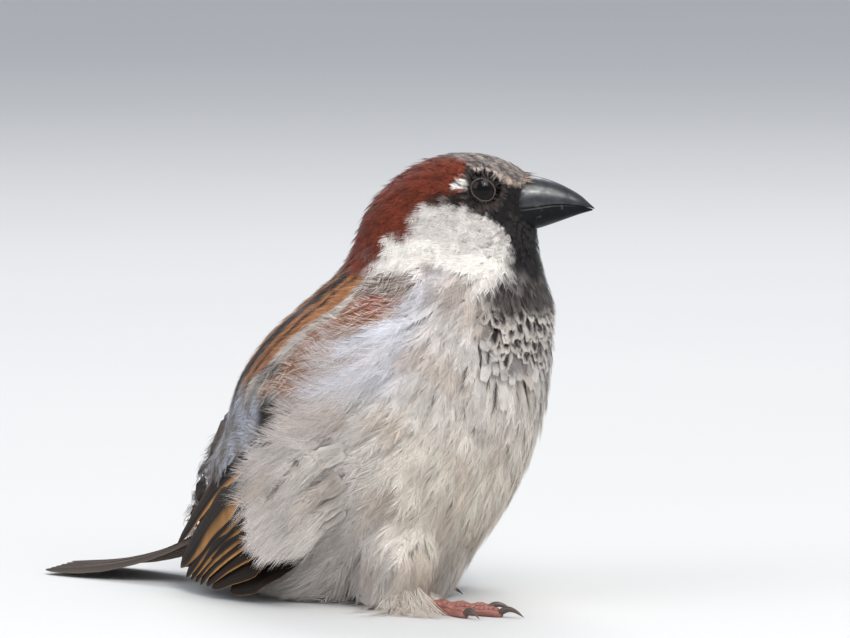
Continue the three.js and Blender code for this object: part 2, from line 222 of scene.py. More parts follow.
def joined(name, nodes, grow, voxel, smoothing):
    """Copies of the nodes, grown by some millimetres, as one smooth closed mesh."""
    whole = bmesh.new()
    for node in nodes:
        part = bmesh.new()
        part.from_mesh(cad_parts[node].data)
        bmesh.ops.remove_doubles(part, verts=part.verts, dist=2e-6)
        part.normal_update()
        for corner in part.verts:
            corner.co += corner.normal * grow * MM
        scrap = bpy.data.meshes.new("scrap")
        part.to_mesh(scrap)
        part.free()
        whole.from_mesh(scrap)
        bpy.data.meshes.remove(scrap)
    mesh = bpy.data.meshes.new(name)
    whole.to_mesh(mesh)
    whole.free()
    piece = bpy.data.objects.new(name, mesh)
    bpy.context.collection.objects.link(piece)
    remesh = piece.modifiers.new("remesh", "REMESH")
    remesh.mode, remesh.voxel_size = "VOXEL", voxel * MM
    relax = piece.modifiers.new("relax", "SMOOTH")
    relax.factor, relax.iterations = 0.5, smoothing
    evaluated = piece.evaluated_get(bpy.context.evaluated_depsgraph_get())
    result = bpy.data.meshes.new_from_object(evaluated)
    piece.modifiers.clear()
    piece.data = result
    bpy.data.meshes.remove(mesh)
    result.polygons.foreach_set("use_smooth", np.full(len(result.polygons), True))
    return piece


def drop_crumbs(mesh):
    """Keeps a mesh's largest connected piece: thin edges that were drawn in leave loose crumbs."""
    shape = bmesh.new()
    shape.from_mesh(mesh)
    unseen, islands = set(shape.verts), []
    while unseen:
        reached = [unseen.pop()]
        for corner in reached:
            near = {edge.other_vert(corner) for edge in corner.link_edges} & unseen
            unseen -= near
            reached.extend(near)
        islands.append(reached)
    crumbs = [corner for island in islands if len(island) < max(map(len, islands)) for corner in island]
    bmesh.ops.delete(shape, geom=crumbs, context="VERTS")
    shape.to_mesh(mesh)
    shape.free()
    return len(islands) - 1


skin = joined("skin", FLESH, 0.25, 0.8, 12)
skin_points, _, skin_normals = arrays_of(skin.data)
lay = joined("lay", FLESH + WINGS, 0.36, 0.7, 24)
lay_points, lay_faces, lay_normals = arrays_of(lay.data)
lay_points -= 0.45 * lay_normals  # the coat's own thickness ends at the frame's outline
lay_tree = BVHTree.FromPolygons(lay_points.tolist(), lay_faces.tolist())
bpy.data.objects.remove(lay)
wing_core = {s: joined(f"wing_{s}", [n for n in WINGS if s in n], -0.3, 0.4, 3) for s in ("right", "left")}
wing_tree = {}
for side, piece in wing_core.items():
    points, faces, _ = arrays_of(piece.data)
    wing_tree[side] = BVHTree.FromPolygons(points.tolist(), faces.tolist())
print("skin", len(skin_points), "points; lay surface", len(lay_points), "points")

# %% [markdown]
# ## Where each marking lies
# A cock sparrow's markings follow places on its body, so each is a soft mask of the place alone: how far
# ahead of the neck line, how far to the side and how high. Head marks use the head's own directions.
# `round_back` is the angle round the body from the breast, 0, to the middle of the back, 180.

# %% Colours and masks
CHESTNUT, CHESTNUT_DARK = srgb(126, 54, 32), srgb(74, 31, 21)
CROWN, CROWN_FLECK = srgb(190, 177, 169), srgb(84, 76, 73)
BUFF = srgb(206, 186, 164)
BLACK, BROWN_BLACK = srgb(27, 25, 26), srgb(46, 36, 36)
CHEEK, CHEEK_GREY = srgb(230, 225, 219), srgb(178, 173, 170)
COLLAR = srgb(246, 241, 234)
BREAST, BELLY, FLANK = srgb(216, 210, 205), srgb(236, 228, 215), srgb(214, 206, 200)
SHOULDER = srgb(224, 224, 230)
MANTLE, MANTLE_PALE, MANTLE_STREAK = srgb(172, 108, 60), srgb(204, 156, 106), srgb(26, 22, 22)
SCAPULAR, RUFOUS, LESSER = srgb(186, 175, 165), srgb(152, 104, 74), srgb(148, 76, 44)
WRIST_BROWN = srgb(112, 95, 84)
# Of the plume colours, the bluish one is a painted highlight, and the palest is both pale hair and painted
# highlight.
PLUME_BLUE_HIGHLIGHT, PLUME_GREY, PLUME_BROWN = srgb(172, 175, 184), srgb(130, 122, 117), srgb(98, 88, 82)
PLUME_PALE_AND_HIGHLIGHT, HAIR_PALE = srgb(204, 208, 218), srgb(218, 212, 205)
QUILL_DARK, QUILL_EDGE = srgb(34, 27, 22), srgb(178, 128, 72)


def body_middle(height):
    """How far ahead of the neck line the middle of the trunk lies at a height."""
    return np.interp(height, [4, 15, 23, 32, 41, 49, 56, 62], [-14, -16.8, -15.9, -13, -10.2, -6.7, -3, -0.5])


def round_back(points):
    return np.degrees(np.arctan2(np.abs(points[..., 1]), points[..., 0] - body_middle(points[..., 2])))


def waves(points, size, seed):
    """A smooth, random-looking number from about -1 to 1 for each place; size is the waves' length."""
    dice = np.random.default_rng(seed)
    total = 0
    for direction in unit(dice.normal(size=(6, 3))):
        along = points @ direction * (2 * np.pi / size) * dice.uniform(0.7, 1.4)
        total = total + np.sin(along + dice.uniform(0, 6.3))
    return total / 3


def unit(vectors):
    return vectors / np.maximum(np.linalg.norm(vectors, axis=-1, keepdims=True), 1e-9)


def plume_edge(height):
    """How far ahead of the neck line the flank's loose feathers begin; behind it the wing shows."""
    return np.interp(height, [8, 20, 28, 34, 42, 50, 55, 57, 60],
                     [-18, -17.5, -15, -11.5, -5.5, -0.5, 2.5, 7, 12])


def markings(points):
    """Soft masks, 0 to 1, of the marks at these places."""
    ahead, left, height = np.moveaxis(in_head(points), -1, 0)
    side = np.abs(left)
    angle = round_back(points) + 2.5 * waves(points, 9.0, 3)
    mask = {}
    # The collar's lower edge is higher towards the nape, to allow for the feathers that hang past it.
    nape_rise = 3.0 * (1 - ease(ahead, -3, 8))
    head = ease(height - nape_rise, 61.0, 62.6)
    trunk = 1 - head
    # The trunk's marks: wing and back behind the plumes' edge.
    plumes = plume_edge(height)
    behind = 1 - ease(points[..., 0] + waves(points, 6.0, 4), plumes - 1.5, plumes + 1.5)
    behind = np.maximum(behind, ease(angle, 100, 108) * (height > 50)) * ease(angle, 62, 75) * trunk
    upper = ease(height + 2.2 * waves(points, 5.0, 7), 36, 41)
    mask["wing"] = behind * trunk
    # From the plumes to the middle of the back: a rufous stretch, a pale band, and then the striped mantle.
    band_end = np.interp(height, [38, 44, 49, 53, 57], [133, 126, 119, 114, 110])
    mask["mantle"] = behind * upper * ease(angle, band_end - 1.2, band_end + 1.2)
    mask["scapular"] = behind * upper - mask["mantle"]
    mask["rufous"] = mask["scapular"] * (1 - ease(angle, band_end - 10, band_end - 7))
    first_bar = np.interp(height, [42, 46, 50, 54, 58, 60], [135, 131, 127, 127, 124, 119])
    bars = [(-1, 1.5), (11.5, 5.4), (24.5, 2.4), (36, 4.6), (51, 3)]
    straight = round_back(points) + 1.3 * waves(points, 14.0, 9) - first_bar
    barred = [1 - ease(np.abs(straight - at), half - 0.8, half + 0.8) for at, half in bars]
    mask["bars"] = np.max(barred, axis=0) * mask["mantle"] * ease(waves(points, 7.0, 10), -1.3, -0.9)
    mask["wrist"] = trunk * ease(height, 57.6, 58.8) * ease(angle, 66, 72) * (1 - ease(angle, 104, 112))
    mask["lesser"] = trunk * ease(height, 54.3, 55.5) * ease(angle, 68, 72) * (1 - ease(angle, 92, 96))
    mask["lesser"] = mask["lesser"] * (1 - ease(height, 59.6, 60.4))
    from_smudge = points[..., 0] + 22.5
    smudge = (from_smudge / 4.2) ** 2 + ((height - 43.4 - 0.35 * from_smudge) / 1.7) ** 2
    mask["smudge"] = behind * (1 - ease(smudge, 0.5, 1.5))
    mask["plume"] = behind * (1 - upper)
    # The blue mask is a painted bluish highlight on the plumes, fading out towards the tail.
    mask["blue"] = mask["plume"] * ease(points[..., 0], -50, -34) * ease(waves(points, 8.0, 5), -0.5, 0.6)
    mask["brown"] = mask["plume"] * ease(waves(points, 7.0, 6), 0.1, 0.9) * (1 - mask["blue"])
    # The gap mask is painted shade: feathers in the slot between the plumes and the wing get the quills' dark
    # colour.
    mask["gap"] = behind * trunk * ease(points[..., 0], -25.5, -23) * (1 - ease(height, 37, 41))
    mask["gap"] = mask["gap"] * ease(height, 22, 27) * (1 - ease(points[..., 0], -19.5, -17.5))
    mask["under_collar"] = trunk * ease(height, 54, 58) * ease(angle, 30, 45) * (1 - ease(angle, 76, 90))
    mask["shoulder"] = trunk * ease(height, 36, 45) * ease(angle, 46, 66)
    mask["belly"] = ease(points[..., 0], -10, 8) * (1 - ease(height, 24, 46))
    mask["flank"] = (1 - ease(points[..., 0], -8, 8)) * (1 - ease(height, 36, 46))
    # The head's marks.
    cheek_top = np.interp(ahead, [-5, -3, 0, 4, 8, 11, 13], [72.6, 74.4, 75.0, 74, 72.6, 70.9, 69.2])
    rough = 0.5 * waves(points, 3.0, 8)
    cheek = ease(ahead + rough, -5.6, -4.6) * (1 - ease(height + rough, cheek_top - 0.4, cheek_top + 0.4))
    collar = 1 - ease(height + rough - 0.9 * nape_rise, 65.2, 66)
    collar = collar * ease(ahead, -10.8, -9.8) * ease(side, 3, 5)
    throat_edge = np.interp(height, [58, 61, 64, 67, 70, 72, 74], [15, 14.6, 13.8, 12.3, 11.6, 12.4, 13.4])
    front = ease(ahead + rough, throat_edge - 0.4, throat_edge + 0.4)
    mask["white"] = head * np.maximum(cheek, collar) * (1 - front)
    mask["collar"] = head * collar * (1 - front)
    nape = head * (1 - mask["white"])
    crown_half = np.interp(ahead, [-2, 0, 3, 6.3, 9, 14], [-1, 1.2, 4.2, 6.9, 7.5, 8])
    crown_floor = np.interp(ahead, [5, 7, 9.5, 12.5, 15], [80.6, 79.7, 78.7, 78.0, 77.6])
    mask["crown"] = nape * (1 - ease(side, crown_half - 0.4, crown_half + 0.4))
    mask["crown"] = mask["crown"] * ease(height, crown_floor - 0.2, crown_floor + 0.2)
    low_crown = 1 - ease(height, crown_floor + 0.5, crown_floor + 1.1)
    mask["brow"] = mask["crown"] * ease(ahead, 4, 6) * low_crown
    mask["chestnut"] = nape * (1 - mask["crown"]) * (1 - ease(ahead + rough, 3.8, 4.8))
    under_eye = ease(ahead, -3, -1) * (1 - ease(height + rough, 76.3, 77.0))
    lore = np.maximum(ease(ahead + rough, 3.8, 4.8), under_eye)
    mask["lore"] = nape * (1 - mask["crown"]) * lore
    spot = ((ahead - 3.3) / 1.75) ** 2 + ((height - 78.3 - 0.15 * (ahead - 3.3)) / 0.95) ** 2
    mask["spot"] = (1 - ease(spot, 0.7, 1.3)) * ease(side, 4, 5)
    bib_half = np.interp(height, [40, 44, 48, 53, 58, 61], [0, 5.5, 9, 12.5, 12.5, 10])
    bib = trunk * (1 - ease(side + rough, bib_half - 0.8, bib_half + 0.8))
    bib = bib * ease(ahead, 4, 7) * ease(height, 43, 46)
    mask["bib"] = np.maximum(bib, head * front * (1 - ease(height, 75, 77)))
    mask["bib_solid"] = mask["bib"] * ease(height, 58.5, 62)
    low_breast = (1 - ease(height, 46, 52)) * ease(height, 33, 38)
    mask["streaks"] = (1 - ease(side, 13, 17)) * ease(ahead, 2, 6) * low_breast
    return mask


def mixed(first, second, amount):
    return first + (second - first) * np.asarray(amount)[..., None]


def coat_colours(points):
    """The main, edge and shaft colours of the feathers that grow at these places, and the masks."""
    mask = markings(points)
    main = np.broadcast_to(BREAST, points.shape).copy()
    main = mixed(main, BELLY, mask["belly"])
    main = mixed(main, FLANK, mask["flank"])
    main = mixed(main, SHOULDER, mask["shoulder"])
    # Painted shade: the coat is darkened along crease lines between locks of feathers.
    painted_crease_shade = 0.2 * ease(waves(points, 4.5, 15), 0.6, 1.2)
    main = main * (1 + 0.08 * waves(points, 7.0, 12) - painted_crease_shade)[..., None]
    main = mixed(main, srgb(192, 170, 150), 0.4 * ease(waves(points, 11.0, 13), 0.2, 0.8))
    mottled = ease(waves(points, 3.5, 16), -0.6, 0.5)
    main = mixed(main, srgb(160, 149, 143), 0.7 * mask["under_collar"] * mottled)
    # gap here is painted shade, the quills' dark colour put on feathers in the slot between plumes and wing.
    for name, colour in (
        ("wing", SCAPULAR), ("mantle", MANTLE), ("rufous", RUFOUS), ("bars", MANTLE_STREAK),
        ("plume", PLUME_GREY), ("brown", PLUME_BROWN), ("blue", PLUME_BLUE_HIGHLIGHT), ("gap", QUILL_DARK),
        ("lesser", LESSER), ("wrist", WRIST_BROWN), ("smudge", PLUME_BROWN * 0.7),
    ):
        main = mixed(main, colour, mask[name])
    edge = mixed(main * 1.05, MANTLE_PALE, mask["mantle"] * 0.7 * (1 - mask["bars"]))
    shaft = mixed(main * 0.86, MANTLE_STREAK, mask["bars"])
    for name, colour, edging in (
        ("chestnut", CHESTNUT, CHESTNUT * 1.2), ("lore", BLACK, BLACK), ("crown", CROWN, CROWN * 1.12),
        ("brow", BUFF, BUFF * 1.05), ("white", CHEEK, CHEEK * 1.04), ("collar", COLLAR, COLLAR),
        ("spot", COLLAR, COLLAR),
    ):
        main = mixed(main, colour, mask[name])
        edge = mixed(edge, edging, mask[name])
        shaft = mixed(shaft, colour * 0.88, mask[name])
    cheek = mask["white"] * (1 - mask["collar"]) * (1 - mask["spot"])
    clouds = ease(waves(points, 3.2, 21), -0.1, 0.9) * ease(points[..., 2], 66, 69)
    main = mixed(main, CHEEK_GREY, cheek * 0.6 * clouds)
    main = mixed(main, CHESTNUT_DARK, mask["chestnut"] * 0.6 * ease(waves(points, 3.5, 22), 0.0, 0.9))
    shaft = mixed(shaft, CROWN_FLECK, mask["crown"] * (1 - mask["brow"]))
    solid = mask["bib_solid"]
    main = mixed(main, mixed(np.broadcast_to(BROWN_BLACK, points.shape), BLACK, solid), mask["bib"])
    shaft = mixed(shaft, BLACK, mask["bib"])
    fringe = mixed(np.broadcast_to(srgb(206, 198, 190), points.shape), srgb(56, 51, 50), solid)
    edge = mixed(edge, fringe, mask["bib"])
    return main, edge, shaft, mask


def wing_colours(points, pick):
    """Colours of single barbs on the wings and back, where stripes run on from feather to feather. pick is a
    random share for each barb, which makes some of them pale hairs."""
    main, _, _, mask = coat_colours(points)
    open_plume = mask["plume"] * (1 - mask["gap"])
    # Pale hairs over the plumes, brightest and most common in the painted highlight of the blue mask.
    main = mixed(main, PLUME_PALE_AND_HIGHLIGHT, open_plume * (0.3 + 0.7 * mask["blue"]) * ease(pick, 0.6, 0.75) * 0.85)
    main = mixed(main, PLUME_BROWN * 0.7, open_plume * (1 - ease(pick, 0.12, 0.3)) * 0.7)
    main = mixed(main, HAIR_PALE, mask["scapular"] * ease(pick, 0.52, 0.7) * 0.75)
    main = mixed(main, RUFOUS * 0.55, mask["scapular"] * (1 - ease(pick, 0.1, 0.25)) * 0.5)
    striped = mask["mantle"] * (1 - mask["bars"])
    main = mixed(main, MANTLE_PALE, striped * ease(pick, 0.7, 0.9) * 0.7)
    main = mixed(main, MANTLE * 0.45, striped * (1 - ease(pick, 0.14, 0.34)) * 0.7)
    return main


print("collar white", COLLAR.round(2), "chestnut", CHESTNUT.round(2))

# %% [markdown]
# ## Which way the feathers lie
# Feathers point away from the bill: back over the crown and cheeks, down the nape and throat, back along the
# flanks, where this fluffed bird's sweep up over its wings, and down the belly. A direction is given for each
# place and then laid flat on the surface. Close to an eye it turns aside, so that nothing grows across it.

# %% Lie of the coat
EYES = [from_head([EYE_AHEAD, s * 5.5, 77.1]) for s in (-1, 1)]
# Degrees below level at four angles round the body from the breast, for heights from the floor up.
DROP_ANGLES = [0, 30, 54, 75, 95, 120]
DROPS = {3: [88, 80, 70, 55, 40, 35], 16: [88, 74, 58, 34, 18, 22], 30: [88, 72, 52, 24, 6, 16],
         46: [88, 72, 50, 20, 2, 20], 54: [88, 74, 56, 34, 20, 36], 61: [88, 78, 64, 52, 46, 44]}


def table(height, angle):
    rows = np.array([np.interp(angle, DROP_ANGLES, row) for row in DROPS.values()])
    heights = np.array(list(DROPS))
    place = np.interp(height, heights, np.arange(len(heights)))
    low = np.clip(place.astype(int), 0, len(heights) - 2)
    share = place - low
    pick = np.arange(len(height))
    return rows[low, pick] * (1 - share) + rows[low + 1, pick] * share


def lie(points, normals):
    height, angle = points[:, 2], round_back(points)
    level = np.cross(UP, normals) * np.where(points[:, 1] > 0, 1, -1)[:, None]
    level = unit(level * [1, 1, 0])
    drop = np.radians(table(height, angle))
    trunk = level * np.cos(drop)[:, None] - UP * np.sin(drop)[:, None]
    back = unit(np.stack([-0.74 - 0 * height, 0 * height, -0.66 - 0.35 * (1 - ease(height, 20, 40))], -1))
    turn_back = 98 + 18 * (1 - ease(height, 30, 42))
    trunk = mixed(trunk, back, ease(angle, turn_back, turn_back + 28))
    ahead, left, _ = np.moveaxis(in_head(points), -1, 0)
    head_drop = 0.15 + 0.9 * ease(-ahead, -4, 12) + 0.6 * (1 - ease(height, 62, 72))
    head_drop = head_drop + 1.6 * ease(ahead, 9, 13) * (1 - ease(height, 68, 73))
    head = np.stack([-np.ones_like(height), 0.25 * np.sign(left) * ease(ahead, 6, 14), -head_drop], -1)
    head = from_head(head, head_turn(height))
    flow = unit(mixed(trunk, unit(head), ease(height, 58, 65)))
    for eye in EYES:
        away = points - eye
        distance = np.linalg.norm(away, axis=-1)
        flow = flow + unit(away) * (1.6 * (1 - ease(distance, 3.0, 5.6)))[..., None]
    flat = unit(flow - normals * np.sum(flow * normals, -1, keepdims=True))
    turn = 0.13 * waves(points, 14.0, 31)
    return unit(flat * np.cos(turn)[:, None] + np.cross(normals, flat) * np.sin(turn)[:, None])


def on_surface(points):
    """The nearest places on the lay surface and the smooth normals there."""
    places, index = np.empty_like(points), np.empty(len(points), np.int64)
    for i, point in enumerate(points.tolist()):
        place, _, face, _ = lay_tree.find_nearest(point)
        places[i], index[i] = place, face
    triangle = lay_faces[index]
    weight = 1 / (np.linalg.norm(lay_points[triangle] - places[:, None], axis=-1) + 0.05)
    return places, unit((lay_normals[triangle] * weight[..., None]).sum(1))


PATH_REACH = 1.4  # a path runs on past its feather's end, for the barbs that do
PATCH_SIZE = 0.003  # each feather's patch on the flat map


def traced(points, lengths, steps, turns):
    """Paths of `steps` equal steps along the coat's lie, as places and normals."""
    place, normal = on_surface(points)
    path, up = [place], [normal]
    for _ in range(steps):
        flow = lie(place, normal)
        flow = flow * np.cos(turns)[:, None] + np.cross(normal, flow) * np.sin(turns)[:, None]
        step = (PATH_REACH * lengths / steps)[:, None]
        free = place + unit(flow - 0.3 * UP) * step
        # Under the belly the feathers leave the skin and hang to the floor.
        hang = (1 - ease(free[:, 2], 7, 11)) * ease(-normal[:, 2], 0.0, 0.35)
        place, below = on_surface(place + flow * step)
        place = mixed(place, free, hang)
        place[:, 2] = np.maximum(place[:, 2], 0.5)
        normal = unit(mixed(below, normal, hang))
        path.append(place)
        up.append(normal)
    return np.stack(path, 1), np.stack(up, 1)


# %% [markdown]
# ## Growing feathers
# A small body feather is a thin soft vane with fine barbs that come loose along its edges and tip. Each vane
# here is a small curved blade, and each barb a ribbon a tenth of a millimetre wide that leaves the shaft at a
# narrow angle and thins to a point. All the feathers of a patch of coat are worked out at once, then joined
# to one mesh. Their normals follow the surface that they lie on, so that the coat is lit as softly as down is.

# %% Feather maker
def along_path(path, up, t, out, lift):
    """Places beside each feather's path: t along it, out to its side and lift above it, in millimetres."""
    steps = path.shape[1] - 1
    t = np.clip(t * steps / PATH_REACH, 0, steps - 1e-6)
    cell = t.astype(int)
    share = (t - cell)[..., None]
    row = np.arange(len(path)).reshape((-1,) + (1,) * (t.ndim - 1))
    place = path[row, cell] * (1 - share) + path[row, cell + 1] * share
    normal = unit(up[row, cell] * (1 - share) + up[row, cell + 1] * share)
    beside = unit(np.cross(normal, path[row, cell + 1] - path[row, cell]))
    return place + beside * out[..., None] + normal * lift[..., None], normal, beside


def outline(t, round_tip):
    """Half width along a feather, as a share of its widest."""
    tip = np.sqrt(np.clip(1 - (np.clip(t - 0.3, 0, 1) / round_tip) ** 2, 0.04, 1))
    return tip * (0.5 + 0.5 * ease(t, 0.0, 0.35))


def feather_tint(look, t, u, jitter):
    """Each point's colour from where it lies in its feather: t along it and u out from its shaft."""
    def get(key, default):
        return np.broadcast_to(np.asarray(look.get(key, default), float), (len(t),))[:, None, None]

    main, edge, shaft, down = (look[key][:, None, None] for key in ("main", "edge", "shaft", "down"))
    tint = mixed(down, main, ease(t, 0.15, 0.45))
    u = u + jitter
    streak = 1 - ease(u, get("shaft_width", 0.12), get("shaft_width", 0.12) + 0.2)
    tint = mixed(tint, shaft, streak * get("shaft_amount", 1.0) * ease(t, 0.3, 0.5))
    tip = ease(t + 0.15 * u + jitter, get("tip_start", 0.9) - 0.08, get("tip_start", 0.9) + 0.08)
    rim = ease(u, get("edge_start", 0.8) - 0.1, get("edge_start", 0.8) + 0.1) * ease(t, 0.2, 0.4)
    tint = mixed(tint, edge, np.maximum(tip, rim) * get("edge_amount", 1.0))
    return tint * (1 + look.get("shade", np.zeros(len(t)))[:, None, None])[..., None]


def feathers(name, path, up, width, look, seed, barbs=20, segments=3, ribbon=0.05, reach=0.6, fray=0.15,
             round_tip=0.8, blade=(0.8, 0.85), blade_grid=(5, 5), root_uv=None, start=0.08,
             loose=0.3, soft=0.7, speckle=0.12):
    """One mesh of feathers: a blade for each, and barbs over and beyond it. soft is how far the normals
    follow the surface below."""
    dice = np.random.default_rng(seed)
    count, half = len(path), barbs // 2
    shape = (count, 2 * half)
    t0 = np.linspace(start, 0.94, half)[None].repeat(count, 0)
    t0 = np.concatenate([t0, t0], 1) + dice.normal(0, 0.03, shape)
    side = np.where(np.arange(2 * half) < half, -1.0, 1.0)[None].repeat(count, 0)
    reach_t = reach * (1 - 0.5 * np.clip(t0, 0, 1)) * (1 + dice.normal(0, fray, shape))
    reach_t = np.minimum(reach_t, PATH_REACH - 0.02 - t0)
    tip_out = side * width[:, None] * outline(t0, round_tip) * (1 + dice.normal(0, fray, shape))
    tip_out = tip_out + dice.normal(0, 0.12, shape) * width[:, None]
    tip_lift = np.abs(dice.normal(0, 1, shape)) * 0.35 * width[:, None] * np.reshape(loose, (-1, 1))
    f = np.linspace(0, 1, segments + 1)
    t = t0[..., None] + reach_t[..., None] * f
    bend = (dice.normal(0, fray, shape) * width[:, None])[..., None] * f * (1 - f)
    out = tip_out[..., None] * f ** 0.85 + bend
    lift = tip_lift[..., None] * f ** 2 + 0.06 + dice.uniform(0, 0.1, shape)[..., None]
    centre, normal, across_path = along_path(path, up, t, out, lift)
    heading = np.diff(centre, axis=2)
    heading = unit(np.concatenate([heading, heading[:, :, -1:]], 2))
    beside = unit(np.cross(normal, heading))
    tilt = dice.normal(0, 0.3, shape)[..., None, None]
    own_normal = normal * np.cos(tilt) - beside * np.sin(tilt)
    beside = beside * np.cos(tilt) + normal * np.sin(tilt)
    thick = (np.reshape(ribbon, (-1, 1, 1)) * (1 - 0.7 * f ** 1.5))[..., None]
    left = (centre - beside * thick)[:, :, :-1]
    right = (centre + beside * thick)[:, :, :-1]
    points = np.concatenate([left, right, centre[:, :, -1:]], 2)

    def doubled(values):
        return np.concatenate([values[:, :, :-1], values[:, :, :-1], values[:, :, -1:]], 2)

    spread = out / width[:, None, None]
    shading = unit(normal * soft + own_normal * (1 - soft) + across_path * (0.3 * spread)[..., None])
    per = 2 * segments + 1
    base = (np.arange(count * 2 * half) * per)[:, None]
    quads = [base + np.array([k, k + 1, segments + k + 1, segments + k]) for k in range(segments - 1)]
    tips = base + np.array([segments - 1, 2 * segments, 2 * segments - 1])
    t_all, u_all = doubled(t), doubled(spread)
    jitter = dice.normal(0, 0.06, shape)[..., None]
    tint = feather_tint(look, t_all, np.abs(u_all), jitter)
    if "by_place" in look:
        strayed = dice.normal(0, 0.3, shape)[..., None, None]
        tint = look["by_place"](doubled(centre + across_path * strayed), dice.random(shape)[..., None])
    tint = tint * (1 + dice.normal(0, speckle, shape))[..., None, None]
    patch = np.stack([np.clip(u_all * 0.5, -0.5, 0.5), np.clip(t_all / PATH_REACH - 0.5, -0.5, 0.5)], -1)
    barb_patch = patch.reshape(count, -1, 2)
    parts = [[points.reshape(-1, 3)], [doubled(shading).reshape(-1, 3)], [tint.reshape(-1, 3)]]
    # The blades, a little below the barbs.
    rows, columns = blade_grid
    end = np.broadcast_to(blade[0], count)[:, None, None]
    t = np.linspace(0.02, 1, rows)[None, :, None] * end * np.ones((count, rows, columns))
    u = np.broadcast_to(np.linspace(-1, 1, columns), (count, rows, columns))
    t = t * (1 + dice.normal(0, 0.03, t.shape))
    out = u * width[:, None, None] * np.reshape(blade[1], (-1, 1, 1)) * outline(t / end * 0.97, round_tip)
    out = out * (1 + dice.normal(0, 0.06, t.shape))
    sag = -0.05 - 0.12 * width[:, None, None] * u ** 2
    points, normal, across_path = along_path(path, up, t, out, sag)
    grid = np.arange(rows * columns).reshape(rows, columns)
    corners = np.stack([grid[:-1, :-1], grid[1:, :-1], grid[1:, 1:], grid[:-1, 1:]], -1).reshape(-1, 4)
    first = len(parts[0][0])
    blades = (first + np.arange(count)[:, None, None] * rows * columns + corners).reshape(-1, 4)
    # The blades are painted 0.88 times as bright as the barbs, as painted shade under them.
    tint = feather_tint(look, t, np.abs(u), dice.normal(0, 0.03, t.shape)) * 0.88
    if "by_place" in look:
        tint = look["by_place"](points, np.full(t.shape, 0.4)) * 0.88
    patch = np.stack([u * 0.5, t / PATH_REACH - 0.5], -1)
    for part, values in zip(parts, (points, unit(normal + across_path * (0.3 * u)[..., None]), tint)):
        part.append(values.reshape(-1, 3))
    points, shading, tint = (np.concatenate(part) for part in parts)
    points[:, 2] = np.maximum(points[:, 2], 0.25)
    uv = None
    if root_uv is not None:
        both = (barb_patch, patch.reshape(count, -1, 2))
        uv = np.concatenate([(root_uv[:, None] + PATCH_SIZE * p).reshape(-1, 2) for p in both])
    faces = [np.concatenate(quads + [blades]), tips]
    piece = mesh_from(name, points, faces, np.clip(tint, 0.002, 1), uv)
    piece.data.normals_split_custom_set_from_vertices(shading.astype(np.float32))
    return piece


# %% [markdown]
# ## Where feathers are rooted
# Roots are scattered over the lay surface so that no two are closer than the feathers there are apart: tiny
# and close on the face, larger and sparser on the body. Candidates are thrown in proportion to how many are
# wanted, and each one kept clears its neighbours away.

# %% Root places
corner = lay_points[lay_faces]
face_area = np.linalg.norm(np.cross(corner[:, 1] - corner[:, 0], corner[:, 2] - corner[:, 0]), axis=1) / 2
face_middle = corner.mean(1)


def quill_line(ahead):
    """The height below which the flight feathers show."""
    return np.interp(ahead, [-53, -51, -45, -36, -29, -24], [13, 17, 21, 24, 26.5, 28])


def coat_sizes(points):
    """Feather length, half width, spacing, and the coat's depth over the skin, in millimetres."""
    head = in_head(points)
    ahead, height = head[..., 0], points[..., 2]
    mask = markings(points)
    face = ease(ahead, 3, 12) * ease(height, 66, 70)
    up_head = ease(height, 60, 67)
    low = 1 - ease(height, 26, 50)
    flank = ease(round_back(points), 50, 80) * (1 - ease(height, 54, 58))
    bib = mask["bib"] * (1 - mask["bib_solid"])
    length = 7.5 + 2.5 * low + 3.5 * flank
    length = length + (8.5 - length) * mask["wing"] - 3.5 * mask["lesser"]
    length = length - 3.6 * mask["wing"] * (1 - ease(points[..., 2] - quill_line(points[..., 0]), 3, 9))
    # The plumes at the flank's edge reach far over the wing.
    edge_gap = points[..., 0] - plume_edge(points[..., 2])
    reaching = (1 - ease(edge_gap, 3, 8)) * (1 - ease(points[..., 2], 24, 32)) * (1 - mask["wing"])
    length = length + 3.2 * reaching
    length = length + (4.8 - length) * bib
    length = length + (3.6 - length) * up_head
    length = length + (1.8 - length) * face
    width = length * 0.165 + 0.5 * mask["wing"] + 0.55 * bib + 0.14 * length * up_head
    spacing = 1.35 + 0.1 * low + 0.3 * mask["wing"] + 0.1 * bib
    spacing = spacing + (0.8 - spacing) * ease(height, 58, 66)
    spacing = spacing + (0.56 - spacing) * face
    depth = 2.0 + 0.8 * low
    depth = depth + (0.9 - depth) * ease(height, 54, 66)
    depth = depth + (0.4 - depth) * face
    eye_gap = np.min([np.linalg.norm(points - eye, axis=-1) for eye in EYES], axis=0)
    length = length * (0.5 + 0.5 * ease(eye_gap, 3.2, 7.5))
    width = width * (0.6 + 0.4 * ease(eye_gap, 3.2, 7.5))
    return length, width, spacing, depth


def scatter(allowed, seed):
    """Places on the lay surface at the coat's spacing, in the faces where allowed is true."""
    dice = np.random.default_rng(seed)
    spacing = coat_sizes(face_middle)[2]
    chance = np.where(allowed, face_area / spacing ** 2, 0)
    wanted = int(chance.sum() * 5)
    pick = dice.choice(len(chance), wanted, p=chance / chance.sum())
    a, b = dice.random((2, wanted))
    flip = a + b > 1
    a, b = np.where(flip, 1 - a, a), np.where(flip, 1 - b, b)
    c = corner[pick]
    points = c[:, 0] + (c[:, 1] - c[:, 0]) * a[:, None] + (c[:, 2] - c[:, 0]) * b[:, None]
    gap = coat_sizes(points)[2]
    tree = KDTree(wanted)
    for i, point in enumerate(points.tolist()):
        tree.insert(point, i)
    tree.balance()
    free, kept = np.ones(wanted, bool), []
    for i in range(wanted):
        if free[i]:
            kept.append(i)
            for _, j, _ in tree.find_range(points[i], gap[i]):
                free[j] = False
    return points[kept]


